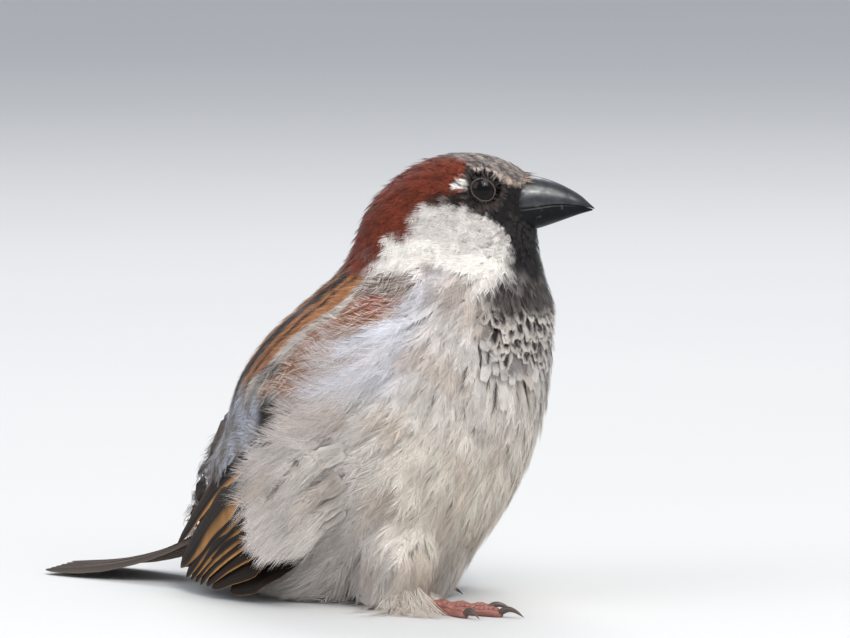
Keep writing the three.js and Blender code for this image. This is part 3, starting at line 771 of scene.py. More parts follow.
def wing_gap(points):
    """How far outside the nearer wing's core these places are; less than nothing is inside it."""
    gaps = []
    for side in ("right", "left"):
        found = [wing_tree[side].find_nearest(p)[:2] for p in points.tolist()]
        nearest, outward = (np.array([hit[k] for hit in found]) for k in (0, 1))
        far = np.linalg.norm(points - nearest, axis=1)
        gaps.append(np.where(np.sum((points - nearest) * outward, axis=1) < 0, -far, far))
    return np.min(gaps, axis=0)


face_wing_gap = wing_gap(face_middle)
eye_clear = np.min([np.linalg.norm(face_middle - eye, axis=-1) for eye in EYES], axis=0) > 3.2
bill_root = from_head([13.6, 0, 74.3])
bill_clear = np.linalg.norm(face_middle - bill_root, axis=1) > 4.6
# The lower wing is left for the flight feathers.
below_quills = face_middle[:, 2] < quill_line(face_middle[:, 0]) + 2.5
open_wing = (face_wing_gap < 0.9) & below_quills & (face_middle[:, 0] < -19)
roots = scatter(~open_wing & eye_clear & bill_clear, 11)
print(len(roots), "roots on the body; face area", round(face_area.sum()), "square mm")


# %% [markdown]
# Every feather also gets a small patch of a flat map, at its root's place when the skin is opened out: round
# the bird one way, and along the skin from the belly to the crown the other.

# %% Flat map of the skin
def skin_map(points):
    turned = in_head(points)
    middle = body_middle(points[..., 2]) * (1 - ease(points[..., 2], 60, 66))
    angle = np.arctan2(turned[..., 1], turned[..., 0] - middle)
    rise = np.interp(points[..., 2], [0, 3, 8, 20, 60, 78, 84], [0, 0.06, 0.15, 0.3, 0.72, 0.9, 1.0])
    return np.stack([0.02 + 0.96 * (angle / (2 * np.pi) + 0.5), 0.02 + 0.96 * rise], -1)


# %% [markdown]
# ## Materials
# Shader sums are written as plain Python through a small wrapper round a node socket.

# %% Shader helpers
class Wire:
    """One output socket of a material, with sums that add Math nodes."""

    def __init__(self, shop, socket):
        self.shop, self.socket = shop, socket

    def _sum(self, operation, first, second):
        return self.shop.node("ShaderNodeMath", {"operation": operation}, [first, second])

    def __add__(self, other):
        return self._sum("ADD", self, other)

    __radd__ = __add__

    def __mul__(self, other):
        return self._sum("MULTIPLY", self, other)

    __rmul__ = __mul__

    def __sub__(self, other):
        return self._sum("SUBTRACT", self, other)

    def __rsub__(self, other):
        return self._sum("SUBTRACT", other, self)


class Shop:
    """A material being made, with one method that adds any node."""

    def __init__(self, name, **fixed):
        self.material = bpy.data.materials.new(name)
        self.material.use_nodes = True
        self.tree = self.material.node_tree
        self.principled = self.tree.nodes["Principled BSDF"]
        for key, value in fixed.items():
            self.principled.inputs[key.replace("_", " ")].default_value = value

    def node(self, kind, settings=None, inputs=(), output=0):
        made = self.tree.nodes.new(kind)
        for key, value in (settings or {}).items():
            if key == "stops":
                ramp = made.color_ramp
                while len(ramp.elements) < len(value):
                    ramp.elements.new(0.5)
                for element, (place, colour) in zip(ramp.elements, value):
                    element.position, element.color = place, (*colour, 1)
            else:
                setattr(made, key, value)
        pairs = inputs.items() if isinstance(inputs, dict) else enumerate(inputs)
        for key, value in pairs:
            if isinstance(value, Wire):
                self.tree.links.new(value.socket, made.inputs[key])
            else:
                made.inputs[key].default_value = value
        return Wire(self, made.outputs[output])

    def feed(self, socket, wire):
        self.tree.links.new(wire.socket, self.principled.inputs[socket])

    def place(self):
        return self.node("ShaderNodeTexCoord", {}, {}, "Object")

    def noise(self, scale, detail=3.0, vector=None):
        inputs = {"Vector": vector or self.place(), "Scale": scale, "Detail": detail}
        return self.node("ShaderNodeTexNoise", {}, inputs)

    def mix(self, amount, first, second, blend="MIX"):
        settings = {"data_type": "RGBA", "blend_type": blend}
        return self.node("ShaderNodeMix", settings, {0: amount, 6: first, 7: second}, 2)

    def bump(self, height, strength, distance):
        inputs = {"Strength": strength, "Distance": distance, "Height": height}
        self.feed("Normal", self.node("ShaderNodeBump", {}, inputs))


def painted(name, low=0.85, high=1.12, **fixed):
    """A finish that takes its colour from the points and varies it gently from place to place."""
    shop = Shop(name, **fixed)
    tint = shop.node("ShaderNodeVertexColor", {"layer_name": "tint"}, {})
    value = shop.noise(900.0) * (high - low) + low
    grey = shop.node("ShaderNodeCombineColor", {}, [value, value, value])
    shop.feed("Base Color", shop.mix(1.0, tint, grey, "MULTIPLY"))
    shop.feed("Roughness", shop.noise(400.0) * 0.2 + 0.62)
    return shop.material


feather_finish = painted("feather", Sheen_Weight=0.12, Sheen_Roughness=0.5, Specular_IOR_Level=0.25)
skin_finish = painted("skin_and_down", Specular_IOR_Level=0.2)


def finish_piece(piece, finish, slot_name, *nodes):
    piece.data.materials.clear()
    piece.data.materials.append(finish)
    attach(piece, "root")
    if nodes:
        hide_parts(*nodes)


# %% [markdown]
# ## The skin
# The skin lies inside the flesh solids by the coat's depth, so that feather tips and not skin make the
# outline. It carries the same marks as the coat, duller, as the grey down at the feathers' roots is.

# %% Skin
inward = coat_sizes(skin_points)[3] * 0.92
new_points = skin_points - skin_normals * inward[:, None]
skin.data.vertices.foreach_set("co", placed(new_points).astype(np.float32).ravel())
skin_main, _, _, _ = coat_colours(skin_points)
paint(skin.data, skin_main * 0.42)
skin.data.update()
finish_piece(skin, skin_finish, "body_feathers", *FLESH)
for side, piece in wing_core.items():
    print(piece.name, "loses", drop_crumbs(piece.data), "crumbs")
    points, _, _ = arrays_of(piece.data)
    above = ease(points[:, 2] - quill_line(points[:, 0]), -1, 1)
    dark = np.broadcast_to(QUILL_DARK * 0.8, points.shape)
    paint(piece.data, mixed(dark, coat_colours(points)[0] * 0.6, above))
    finish_piece(piece, skin_finish, "flight_feathers", *[n for n in WINGS if side in n])
print("skin and wing cores placed")


# %% [markdown]
# ## The body's coat
# The roots are sorted into patches by size of feather, traced along the lie and grown. Paths start on the
# skin and rise to the outline, so each feather overlaps the next one's root.

# %% Body feathers
def grow_coat(name, points, seed, **style):
    dice = np.random.default_rng(seed)
    length, width, _, depth = coat_sizes(points)
    length = length * style.pop("grown", 1)
    vary = 1 + dice.normal(0, 0.12, len(points))
    path, up = traced(points, length * vary, style.pop("steps", 6), dice.normal(0, 0.08, len(points)))
    t = np.linspace(0, PATH_REACH, path.shape[1])
    own = coat_colours(points)
    rise = -depth[:, None] * np.clip(1 - t, 0, 1) ** 1.6
    ruffle = np.minimum(np.abs(dice.normal(0, 1, len(points))), 1.8) * (0.1 + 0.24 * own[3]["chestnut"])
    rise = rise + (ruffle * depth)[:, None] * t ** 2
    gap = np.clip(wing_gap(path.reshape(-1, 3)).reshape(rise.shape), -0.8, 9)
    buried = np.clip(0.2 - gap, 0.12, 1) * (1 - ease(path[..., 2], 30, 36))
    # Over the folded wing the feathers ride above the flight feathers' webs.
    near_quills = ease(quill_line(path[..., 0]) + 7 - path[..., 2], 0, 5) * ease(-path[..., 0], 20, 26)
    over_wing = np.maximum(0.12, buried) + 0.3 * t + 0.9 * near_quills
    rise = np.where(gap < 1.2, np.maximum(rise, over_wing), rise)
    # A feather shows past its middle, so its colours are those of the place that it covers.
    main, edge, shaft, mask = coat_colours(path[:, path.shape[1] // 2] + dice.normal(0, 0.2, points.shape))
    # The flank's plumes keep their own colours where they hang over the wing.
    hanging = (1 - own[3]["wing"]) * mask["wing"] > 0.2
    main, edge, shaft = (np.where(hanging[:, None], b, a) for a, b in zip((main, edge, shaft), own))
    mask = {key: np.where(hanging, own[3][key], value) for key, value in mask.items()}
    path = path + up * rise[..., None]
    wing, bib = mask["mantle"], mask["bib"] * (1 - mask["bib_solid"])
    streak = (mask["streaks"] * (1 - mask["bib"]) > dice.random(len(points)) * 3.5) * 1.0
    shaft = mixed(shaft, BROWN_BLACK, streak)
    # Fine dark flecks over the crown.
    main = mixed(main, CROWN_FLECK * 0.8, mask["crown"] * (dice.random(len(points)) < 0.28) * 0.85)
    solid = mask["bib_solid"]
    shafted = np.maximum.reduce([streak, 0.35 + 0 * wing, mask["crown"] * 0.8])
    tip_share, edge_share = (bib * dice.uniform(0.85, 1.1, len(points)) for _ in range(2))
    uneven = 0.07 + 0.13 * np.maximum(mask["chestnut"], mask["mantle"])
    look = {
        "main": main, "edge": edge, "shaft": shaft, "down": main * (0.6 - 0.27 * mask["chestnut"])[:, None],
        "shaft_width": 0.1 + 0.1 * streak + 0.25 * mask["crown"],
        "shaft_amount": shafted * (1 - solid),
        "tip_start": 1.5 - 0.66 * tip_share - 0.5 * wing - 0.6 * solid,
        "edge_amount": 1 - 0.85 * bib * ease(points[:, 2], 56.5, 61),
        "edge_start": 1.5 - 0.87 * edge_share - 0.75 * wing,
        "shade": dice.normal(0, 1, len(points)) * uneven,
    }
    # Feathers of the flank's edge and of the belly's hem have little vane and long loose barbs.
    hem = 1 - ease(points[:, 2], 8, 15)
    fringe = (1 - mask["wing"]) * (1 - ease(points[:, 2], 55, 58))
    fringe = fringe * (1 - ease(points[:, 0] - plume_edge(points[:, 2]), 5, 11))
    near_line = mask["wing"] * (1 - ease(points[:, 2] - quill_line(points[:, 0]), 4, 9))
    near_line = near_line * (1 - ease(-points[:, 0], 26, 33))
    airy = np.maximum.reduce([hem, fringe, 0.8 * near_line])
    blade = style.pop("blade", (0.8, 0.85))
    style["blade"] = (blade[0] * (1 - 0.65 * airy), blade[1] * (1 - 0.6 * hem))
    style["ribbon"] = style.get("ribbon", 0.05) * (1 - 0.3 * airy)
    if style.pop("striped", False):
        look["by_place"] = wing_colours
    piece = feathers(name, path, up, width * vary * (1 + 0.2 * airy), look, seed, root_uv=skin_map(points),
                     loose=0.3 + 0.5 * airy, **style)
    finish_piece(piece, feather_finish, "body_feathers")
    return len(piece.data.loops) - 2 * len(piece.data.polygons)


height, angle = roots[:, 2], round_back(roots)
left_side = roots[:, 1] > 0
root_marks = markings(roots)
wing_root, bib_here = root_marks["wing"] > 0.5, root_marks["bib"] * (1 - root_marks["bib_solid"])
flocks = {
    "coat_head": (height > 66, dict(barbs=36, segments=2, ribbon=0.031, blade_grid=(4, 3), blade=(0.55, 0.6),
                                    speckle=0.08)),
    "coat_neck": ((height <= 66) & (height > 57.5) & ~((bib_here > 0.4) & (height <= 61)) & ~wing_root,
                  dict(barbs=52, segments=2, ribbon=0.034, speckle=0.09)),
}
fine = dict(barbs=112, segments=2, ribbon=0.036, fray=0.22, speckle=0.11)
scaly = dict(barbs=28, reach=0.3, blade=(1.0, 1.05), blade_grid=(8, 7), ribbon=0.035)
hanging_locks = dict(barbs=44, segments=4, blade=(0.5, 0.5), reach=0.8, grown=1.3, ribbon=0.055)
for label, part in (("right", ~left_side), ("left", left_side)):
    bib_root = (bib_here > 0.4) & (height <= 61)
    flocks[f"coat_bib_{label}"] = (bib_root & part, scaly)
    body = ((height <= 57.5) | wing_root) & part & ~bib_root
    upper = height > 34
    flocks[f"coat_breast_{label}"] = (body & ~wing_root & upper, fine)
    flocks[f"coat_belly_{label}"] = (body & ~wing_root & ~upper, fine)
    over_quills = (height < quill_line(roots[:, 0]) + 2.5) & (np.abs(roots[:, 1]) > 6)
    flocks[f"coat_back_{label}"] = (body & wing_root & ~over_quills, dict(barbs=46, striped=True))
# The longest feathers hang in loose locks where the belly meets the ground.
thin = np.random.default_rng(45).random(len(roots)) < 0.6
flocks["coat_hem"] = ((height < 14) & thin & ~wing_root, hanging_locks)
total = 0
for number, (name, (chosen, style)) in enumerate(flocks.items()):
    faces = grow_coat(name, roots[chosen], 20 + number, **dict(style))
    total += faces
    print(name, chosen.sum(), "feathers,", faces, "triangles")
print("coat", total, "triangles")

# %% [markdown]
# ## The flank's longest plumes
# The flank's last plumes lie over the folded wing and hide its lower edge and the roots of its feathers. They
# leave the body's surface for the wing's, so their paths are drawn straight back, and down a little.

# %% Plumes over the wing
PLUMES_EACH_SIDE = 190
for sign, label in ((-1, "right"), (1, "left")):
    dice = np.random.default_rng(46)
    number = PLUMES_EACH_SIDE
    first = np.stack([dice.uniform(-17.6, -4, number), dice.uniform(14.5, 31, number)], 1)[:, None]
    t = np.linspace(0, PATH_REACH, 9)[None]
    drop = np.radians(np.interp(first[..., 1], [14, 31], [27, 21]) + dice.normal(0, 5, (number, 1)))
    reach = dice.uniform(8.5, 11, (number, 1)) * t
    ahead = first[..., 0] - reach * np.cos(drop)
    height = np.maximum(first[..., 1] - reach * np.sin(drop), 0.7)
    out = np.interp(-ahead, [9, 15, 24, 31, 36, 42], [27, 27, 25.4, 21.9, 19.8, 18]) + 0.9 - 0.3 * t
    line = np.stack([ahead, sign * out, height], -1)
    place, normal = (found.reshape(line.shape) for found in on_surface(line.reshape(-1, 3)))
    left_skin = ease(t, 0.1, 0.6) + 0 * ahead
    bend = ease(-ahead, 16, 50)
    wing_up = unit(np.stack([-0.2 - 0.38 * bend, sign * (0.95 - 0.17 * bend), 0.12 + 0.16 * bend], -1))
    path, up = mixed(place + 0.4 * normal, line, left_skin), unit(mixed(normal, wing_up, left_skin))
    main, edge, shaft, _ = coat_colours(path[:, 0] + [7, 0, 0])
    look = {"main": main, "edge": edge, "shaft": shaft, "down": main * 0.75, "shaft_amount": 0.3,
            "shade": dice.normal(0, 0.07, number)}
    plumes = feathers(f"coat_plume_{label}", path, up, np.full(number, 2.1), look, 47, barbs=84, segments=3,
                      ribbon=0.035, blade=(0.45, 0.6), fray=0.25, loose=0.6, root_uv=skin_map(path[:, 0]))
    finish_piece(plumes, feather_finish, "body_feathers")
    print(plumes.name, number, "feathers")

# %% [markdown]
# ## The eyes
# Each eye is a dark, wet ball with a brown iris and a black pupil, set in a bare pale rim. A ball of rings
# round its outward axis lets the colour follow the distance from the pupil.

# %% Eyes
EYE_RADIUS = 3.3


def ball(centre, axis, radius, rings=40, points=56):
    axis = unit(axis)
    side = unit(np.cross(UP, axis))
    top = np.cross(axis, side)
    polar = np.linspace(0.0001, np.pi - 0.0001, rings)[:, None]
    turn = np.linspace(0, 2 * np.pi, points, endpoint=False)[None]
    flat = np.sin(polar)[..., None] * (np.cos(turn)[..., None] * side + np.sin(turn)[..., None] * top)
    place = centre + radius * (flat + np.cos(polar)[..., None] * axis)
    index = np.arange(rings * points).reshape(rings, points)
    after = np.roll(index, -1, 1)
    quads = np.stack([index[:-1], index[1:], after[1:], after[:-1]], -1).reshape(-1, 4)
    return place.reshape(-1, 3), quads, np.degrees(polar * np.ones_like(turn)).ravel()


def drawn_in(points, centre, polar):
    """A ball narrowed behind its rim, so that the coat closes round it."""
    return centre + (points - centre) * (1 - 0.22 * ease(polar, 40, 72))[:, None]


eye_shop = Shop("wet_eye", Roughness=0.08, Coat_Weight=0.2, Coat_Roughness=0.02, Specular_IOR_Level=0.08)
eye_shop.feed("Base Color", eye_shop.node("ShaderNodeVertexColor", {"layer_name": "tint"}, {}))
lid_finish = painted("eye_rim", Specular_IOR_Level=0.4)
RIM_RADIUS, RIM_THICK, RIM_TILT = 2.08, 0.11, math.radians(35)
for side, sign in (("right", -1), ("left", 1)):
    centre = eye_places[side] - NECK
    out = unit(from_head([0.14, sign * 1.0, 0.04]))
    points, quads, polar = ball(centre, out, EYE_RADIUS)
    points = drawn_in(points, centre, polar)
    pupil, iris = srgb(5, 5, 6), srgb(20, 13, 11)
    ring = ease(polar, 21, 24) * (1 - ease(polar, 36, 44))
    tint = mixed(np.broadcast_to(pupil, points.shape), iris, ring)
    eye = mesh_from(f"eye_ball_{side}", points, [quads], tint)
    finish_piece(eye, eye_shop.material, "eye_ball", f"eye_{side}")
    # The rim is a thin ring of skin pressed on to the ball, beaded as the real lid's edge is.
    along = unit(np.cross(UP, out))
    top = np.cross(out, along)
    turn = np.linspace(0, 2 * np.pi, 132, endpoint=False)[:, None]
    roll = np.linspace(0, 2 * np.pi, 10, endpoint=False)[None]
    bead = 1 + 0.45 * np.cos(turn * 33)
    # An oval, drawn out towards the back of the crown and towards the gape.
    oval = RIM_RADIUS * (1 + 0.1 * np.cos(2 * (turn - sign * RIM_TILT)) + 0.012 * np.cos(7 * turn))
    radius = oval + RIM_THICK * bead * np.cos(roll)
    height_out = np.sqrt((EYE_RADIUS + 0.04) ** 2 - oval ** 2) + RIM_THICK * bead * np.sin(roll)
    ring = (centre + (radius * np.cos(turn))[..., None] * along + (radius * np.sin(turn))[..., None] * top
            + height_out[..., None] * out)
    index = np.arange(ring.shape[0] * ring.shape[1]).reshape(ring.shape[:2])
    after = np.roll(index, -1, 0)
    quads = np.stack([index, after, np.roll(after, -1, 1), np.roll(index, -1, 1)], -1).reshape(-1, 4)
    pale = np.broadcast_to(srgb(88, 79, 72), (len(quads), 3))
    shade = mixed(pale, srgb(52, 44, 42), ease(-(bead - 1) + 0 * roll, -0.1, 0.3).ravel() * 0.7)
    rim = mesh_from(f"eye_rim_{side}", ring.reshape(-1, 3), [quads], shade)
    face_outwards(rim)
    finish_piece(rim, lid_finish, "leg_scale")
    # Round the rim the lid's bare skin covers the ball, and rows of tiny feathers point outwards over it.
    points, quads, polar = ball(centre, out, EYE_RADIUS + 0.06)
    points = drawn_in(points, centre, polar)
    polar_row = polar.reshape(40, 56)[:, 0]
    kept = (polar_row > 36.5) & (polar_row < 84)
    inner_row, outer_row = np.flatnonzero(kept)[[0, -1]]
    quads = quads.reshape(39, 56, 4)[inner_row:outer_row].reshape(-1, 4) - inner_row * 56
    points = points[inner_row * 56:(outer_row + 1) * 56]
    lid = mesh_from(f"lid_{side}", points, [quads], np.broadcast_to(BROWN_BLACK, points.shape))
    finish_piece(lid, skin_finish, "body_feathers")
    dice = np.random.default_rng(70)
    rows = []
    for start, number in ((2.1, 44), (2.4, 46), (2.8, 50), (3.3, 54)):
        turn = np.linspace(0, 2 * np.pi, number, endpoint=False)[:, None]
        turn = turn + dice.normal(0, 0.06, (number, 1)) + start
        reach = start + dice.uniform(-0.12, 0.12, (number, 1)) + np.linspace(0, 1.9, 7)
        level = centre + (np.cos(turn)[..., None] * along + np.sin(turn)[..., None] * top) * reach[..., None]
        place, normal = (found.reshape(level.shape) for found in on_surface((level + 2 * out).reshape(-1, 3)))
        on_ball = level + out * np.sqrt(np.maximum(3.4 ** 2 - reach ** 2, 0.5))[..., None]
        laid = mixed(place + 0.28 * normal, on_ball, 1 - ease(reach, 2.2, 2.9))
        rows.append((laid, normal, np.full(number, start)))
    path, up, start = (np.concatenate([row[k] for row in rows]) for k in (0, 1, 2))
    main, edge, shaft, mask = coat_colours(path[:, 3])
    black = np.maximum(mask["lore"], start < 2.3)
    main = mixed(main, mixed(BLACK, srgb(78, 66, 60), dice.random(len(path)) ** 2), black)
    edge, shaft = mixed(edge, main, black), mixed(shaft, main, black)
    look = {"main": main, "edge": edge, "shaft": shaft, "down": main * 0.4, "shaft_amount": 0.3}
    tufts = feathers(f"coat_eye_{side}", path, up, np.full(len(path), 0.26), look, 71, barbs=18, segments=2,
                     ribbon=0.035, blade=(0.55, 0.7), blade_grid=(4, 3), root_uv=skin_map(path[:, 0]))
    finish_piece(tufts, feather_finish, "body_feathers")
print("eyes set")

# %% [markdown]
# ## The bill
# A seed-eater's stout cone in two halves, each a D-shaped section drawn out along its length: the ridge and
# keel curve in to the tip, and the upper half overhangs the lower. The horn is near black with a blue sheen.

# %% Bill
BILL_BASE, BILL_TIP = 12.4, 27.8
CULMEN = [79.9, 79.6, 79.1, 78.35, 77.2, 75.7, 73.4]
TOMIUM = [73.4, 73.6, 73.9, 74.2, 74.2, 73.9, 73.2]
GONYS = [69.0, 69.2, 69.6, 70.4, 71.3, 72.2, 72.95]
BILL_HALF = [4.7, 4.3, 3.75, 3.1, 2.3, 1.4, 0.16]


def curve(values, t):
    """A smooth curve through evenly spaced values."""
    values = np.asarray(values, float)
    place = np.clip(t, 0, 1) * (len(values) - 1)
    i = np.clip(place.astype(int), 0, len(values) - 2)
    f = place - i
    padded = np.concatenate([[2 * values[0] - values[1]], values, [2 * values[-1] - values[-2]]])
    p0, p1, p2, p3 = padded[i], padded[i + 1], padded[i + 2], padded[i + 3]
    return p1 + 0.5 * f * (p2 - p0 + f * (2 * p0 - 5 * p1 + 4 * p2 - p3 + f * (3 * (p1 - p2) + p3 - p0)))


def closed_loft(rings):
    """Points and faces of a closed solid through rings of points."""
    rows, columns = rings.shape[:2]
    index = np.arange(rows * columns).reshape(rows, columns)
    after = np.roll(index, -1, 1)
    quads = np.stack([index[:-1], after[:-1], after[1:], index[1:]], -1).reshape(-1, 4)
    ends = np.array([rings[0].mean(0), rings[-1].mean(0)])
    points = np.concatenate([rings.reshape(-1, 3), ends])
    first = np.stack([after[0], index[0], np.full(columns, rows * columns)], -1)
    last = np.stack([index[-1], after[-1], np.full(columns, rows * columns + 1)], -1)
    return points, [quads, np.concatenate([first, last])]


def mandible(name, edge, upper):
    t = np.linspace(0, 1, 64)
    ahead = BILL_BASE + (BILL_TIP - BILL_BASE) * t - (0 if upper else 0.35 * t)
    half, shut = curve(BILL_HALF, t), curve(TOMIUM, t) + (0.025 if upper else -0.025)
    deep = curve(edge, t) - shut
    angle = np.linspace(0, np.pi, 33)
    square = np.sign(np.sin(angle)) * np.abs(np.sin(angle)) ** (0.9 if upper else 0.75)
    side = half[:, None] * np.cos(angle) * (1 - 0.05 * np.sin(angle) ** 4)
    # The closing edges roll inwards, which draws the fine line between the halves.
    rings = np.stack([ahead[:, None] + 0 * side, side, shut[:, None] + deep[:, None] * square], -1)
    inner = rings[:, ::-1][:, 1:-1].copy()
    inner[..., 2] = shut[:, None] + 0.12 * (rings[:, ::-1][:, 1:-1, 2] - shut[:, None])
    inner[..., 1] *= 0.86
    points, faces = closed_loft(from_head(np.concatenate([rings, inner], 1)))
    piece = mesh_from(name, points, faces)
    face_outwards(piece)
    return piece


def horn_finish(name, coat, specular, pale):
    horn = Shop(name, Coat_Roughness=0.22, Specular_IOR_Level=specular)
    turn = {"Vector": horn.place(), "Rotation": (0, 0, -HEAD_YAW), "Scale": (0.25, 1, 1)}
    streaks = horn.noise(1600.0, 4.0, horn.node("ShaderNodeMapping", {}, turn))
    scuffs = horn.noise(700.0, 6.0)
    scuff_mask = horn.node("ShaderNodeMapRange", {}, {0: scuffs, 1: 0.62, 2: 0.74, 3: 0.0, 4: 1.0})
    # pale scales the blue-grey in the horn's colour, as painted light: above 1 a painted highlight, below 1
    # painted shade.
    dark = horn.mix(streaks, (*srgb(10, 11, 13), 1), (*(srgb(28, 31, 37) * pale), 1))
    horn.feed("Base Color", horn.mix(scuff_mask * 0.5, dark, (*srgb(120, 120, 122), 1)))
    horn.feed("Roughness", streaks * 0.2 + 0.26 + scuff_mask * 0.2)
    worn = {0: horn.noise(420.0, 4.0), 1: 0.4, 2: 0.6, 3: 0.0, 4: coat}
    horn.feed("Coat Weight", horn.node("ShaderNodeMapRange", {}, worn))
    horn.bump(streaks, 0.25, 0.0001)
    return horn.material


# The lower half is duller than the upper one, and pale paints light into the horn's colour: a paler blue-grey
# on the upper half is painted highlight, a darker one on the lower half painted shade.
for name, edge, upper, finish in (("upper", CULMEN, True, horn_finish("bill_upper_horn", 0.8, 0.45, 1.5)),
                                  ("lower", GONYS, False, horn_finish("bill_lower_horn", 0.08, 0.12, 0.4))):
    half = mandible(f"bill_{name}_horn", edge, upper)
    finish_piece(half, finish, "bill_horn", f"bill_{name}")
print("bill made")

# %% [markdown]
# ## Feathers and bristles over the bill's base
# Short feathers overlap the horn all round, so no clean edge shows, and stiff black bristles reach forward
# past the corners of the mouth. Bristles, and later the plates of the toes, are one small shape repeated, so
# Geometry Nodes puts them on points: each point says which way its copy points, which way is out, and its
# size.

# %% Bill base feathers
dice = np.random.default_rng(80)
number = 190
turn = np.radians(np.linspace(-100, 260, number, endpoint=False) + dice.normal(0, 1.5, number))[:, None]
t = np.linspace(0, 1, 7)[None]
ahead = 10.9 + 4.2 * t + dice.uniform(-0.7, 0.5, (number, 1))
ahead = ahead + 2.7 * np.sin(turn) ** 2 * dice.random((number, 1))
swell = 0.1 + 0.4 * t - 0.3 * t ** 2
rise = np.where(np.sin(turn) > 0, (6.5 - 0.12 * (ahead - 12.4)) * np.abs(np.sin(turn)) ** 0.9,
                -(4.4 - 0.08 * (ahead - 12.4)) * np.abs(np.sin(turn)) ** 0.75)
wide = (4.7 - 0.17 * (ahead - 12.4)) * np.cos(turn)
path = from_head(np.stack([ahead, wide + swell * np.cos(turn), 73.4 + rise + swell * np.sin(turn)], -1))
up = unit(from_head(np.stack([0.25 + 0 * ahead, np.cos(turn) + 0 * ahead, np.sin(turn) + 0 * ahead], -1)))
main = coat_colours(path[:, 0] - from_head([1.6, 0, 0]))[0]
main = mixed(main, BLACK, 1 - ease(np.sin(turn[:, 0]), 0.2, 0.5))
main = mixed(main, srgb(92, 64, 54), ease(np.sin(turn[:, 0]), 0.3, 0.8) * dice.uniform(0.2, 1, number))
look = {"main": main, "edge": main, "shaft": main, "down": main * 0.7, "shaft_amount": 0.3}
tufts = feathers("coat_bill_base", path, up, np.full(number, 0.5), look, 81, barbs=16, segments=2,
                 ribbon=0.04, blade=(0.6, 0.7), blade_grid=(4, 3), root_uv=skin_map(path[:, 0]))
finish_piece(tufts, feather_finish, "body_feathers")
print("bill base", number, "feathers")


# %% Repeating by Geometry Nodes
def repeating_tree(name, kind, finish, sizes):
    """A tree that puts one small shape on every point. sizes are its named inputs, in metres."""
    tree = bpy.data.node_groups.new(name, "GeometryNodeTree")
    tree.interface.new_socket("Geometry", in_out="INPUT", socket_type="NodeSocketGeometry")
    for label, value in sizes.items():
        tree.interface.new_socket(label, in_out="INPUT", socket_type="NodeSocketFloat").default_value = value
    tree.interface.new_socket("Geometry", in_out="OUTPUT", socket_type="NodeSocketGeometry")

    def add(node_kind, settings=(), **values):
        node = tree.nodes.new(node_kind)
        for key, value in settings:
            setattr(node, key, value)
        for key, value in values.items():
            socket = node.inputs[key.replace("_", " ")]
            if isinstance(value, bpy.types.NodeSocket):
                tree.links.new(value, socket)
            else:
                socket.default_value = value
        return node

    given = add("NodeGroupInput").outputs
    if kind == "plate":
        shape = add("GeometryNodeMeshUVSphere", Segments=10, Rings=6, Radius=1.0).outputs["Mesh"]
        scale = add("ShaderNodeCombineXYZ", X=given["Length"], Y=given["Width"], Z=given["Height"]).outputs[0]
        shape = add("GeometryNodeTransform", Geometry=shape, Scale=scale).outputs["Geometry"]
        axes = (("primary_axis", "X"), ("secondary_axis", "Z"))
    else:
        shape = add("GeometryNodeMeshCone", Vertices=5, Side_Segments=3, Radius_Top=0.0,
                    Radius_Bottom=given["Thickness"], Depth=given["Length"]).outputs["Mesh"]
        axes = (("primary_axis", "Z"), ("secondary_axis", "X"))
    vector = (("data_type", "FLOAT_VECTOR"),)
    facing = [add("GeometryNodeInputNamedAttribute", vector, Name=label).outputs["Attribute"]
              for label in ("along", "outward")]
    turned = tree.nodes.new("FunctionNodeAxesToRotation")
    for key, value in axes:
        setattr(turned, key, value)
    tree.links.new(facing[0], turned.inputs[0])
    tree.links.new(facing[1], turned.inputs[1])
    size = add("GeometryNodeInputNamedAttribute", (("data_type", "FLOAT"),), Name="size").outputs["Attribute"]
    copies = add("GeometryNodeInstanceOnPoints", Points=given["Geometry"], Instance=shape,
                 Rotation=turned.outputs[0])
    tree.links.new(size, copies.inputs["Scale"])
    real = add("GeometryNodeRealizeInstances", Geometry=copies.outputs[0]).outputs[0]
    smooth = add("GeometryNodeSetShadeSmooth", Geometry=real).outputs[0]
    last = add("GeometryNodeSetMaterial", Geometry=smooth, Material=finish).outputs[0]
    tree.links.new(last, add("NodeGroupOutput").inputs[0])
    return tree


def repeated(name, places, along, outward, size, tree, **inputs):
    """A plain mesh of the tree's shape at each of the places. inputs overrule the tree's sizes."""
    mesh = bpy.data.meshes.new(name)
    mesh.from_pydata(placed(places).tolist(), [], [])
    host = bpy.data.objects.new(name, mesh)
    bpy.context.collection.objects.link(host)
    for label, values, kind, field in (("along", along, "FLOAT_VECTOR", "vector"),
                                       ("outward", outward, "FLOAT_VECTOR", "vector"),
                                       ("size", size, "FLOAT", "value")):
        layer = host.data.attributes.new(label, kind, "POINT")
        layer.data.foreach_set(field, np.ascontiguousarray(values, np.float32).ravel())
    modifier = host.modifiers.new("repeat", "NODES")
    modifier.node_group = tree
    for item in tree.interface.items_tree:
        if item.item_type == "SOCKET" and item.in_out == "INPUT" and item.name in inputs:
            modifier[item.identifier] = inputs[item.name]
    evaluated = host.evaluated_get(bpy.context.evaluated_depsgraph_get())
    result = bpy.data.meshes.new_from_object(evaluated)
    host.modifiers.remove(modifier)
    host.data = result
    result.name = name
    return host


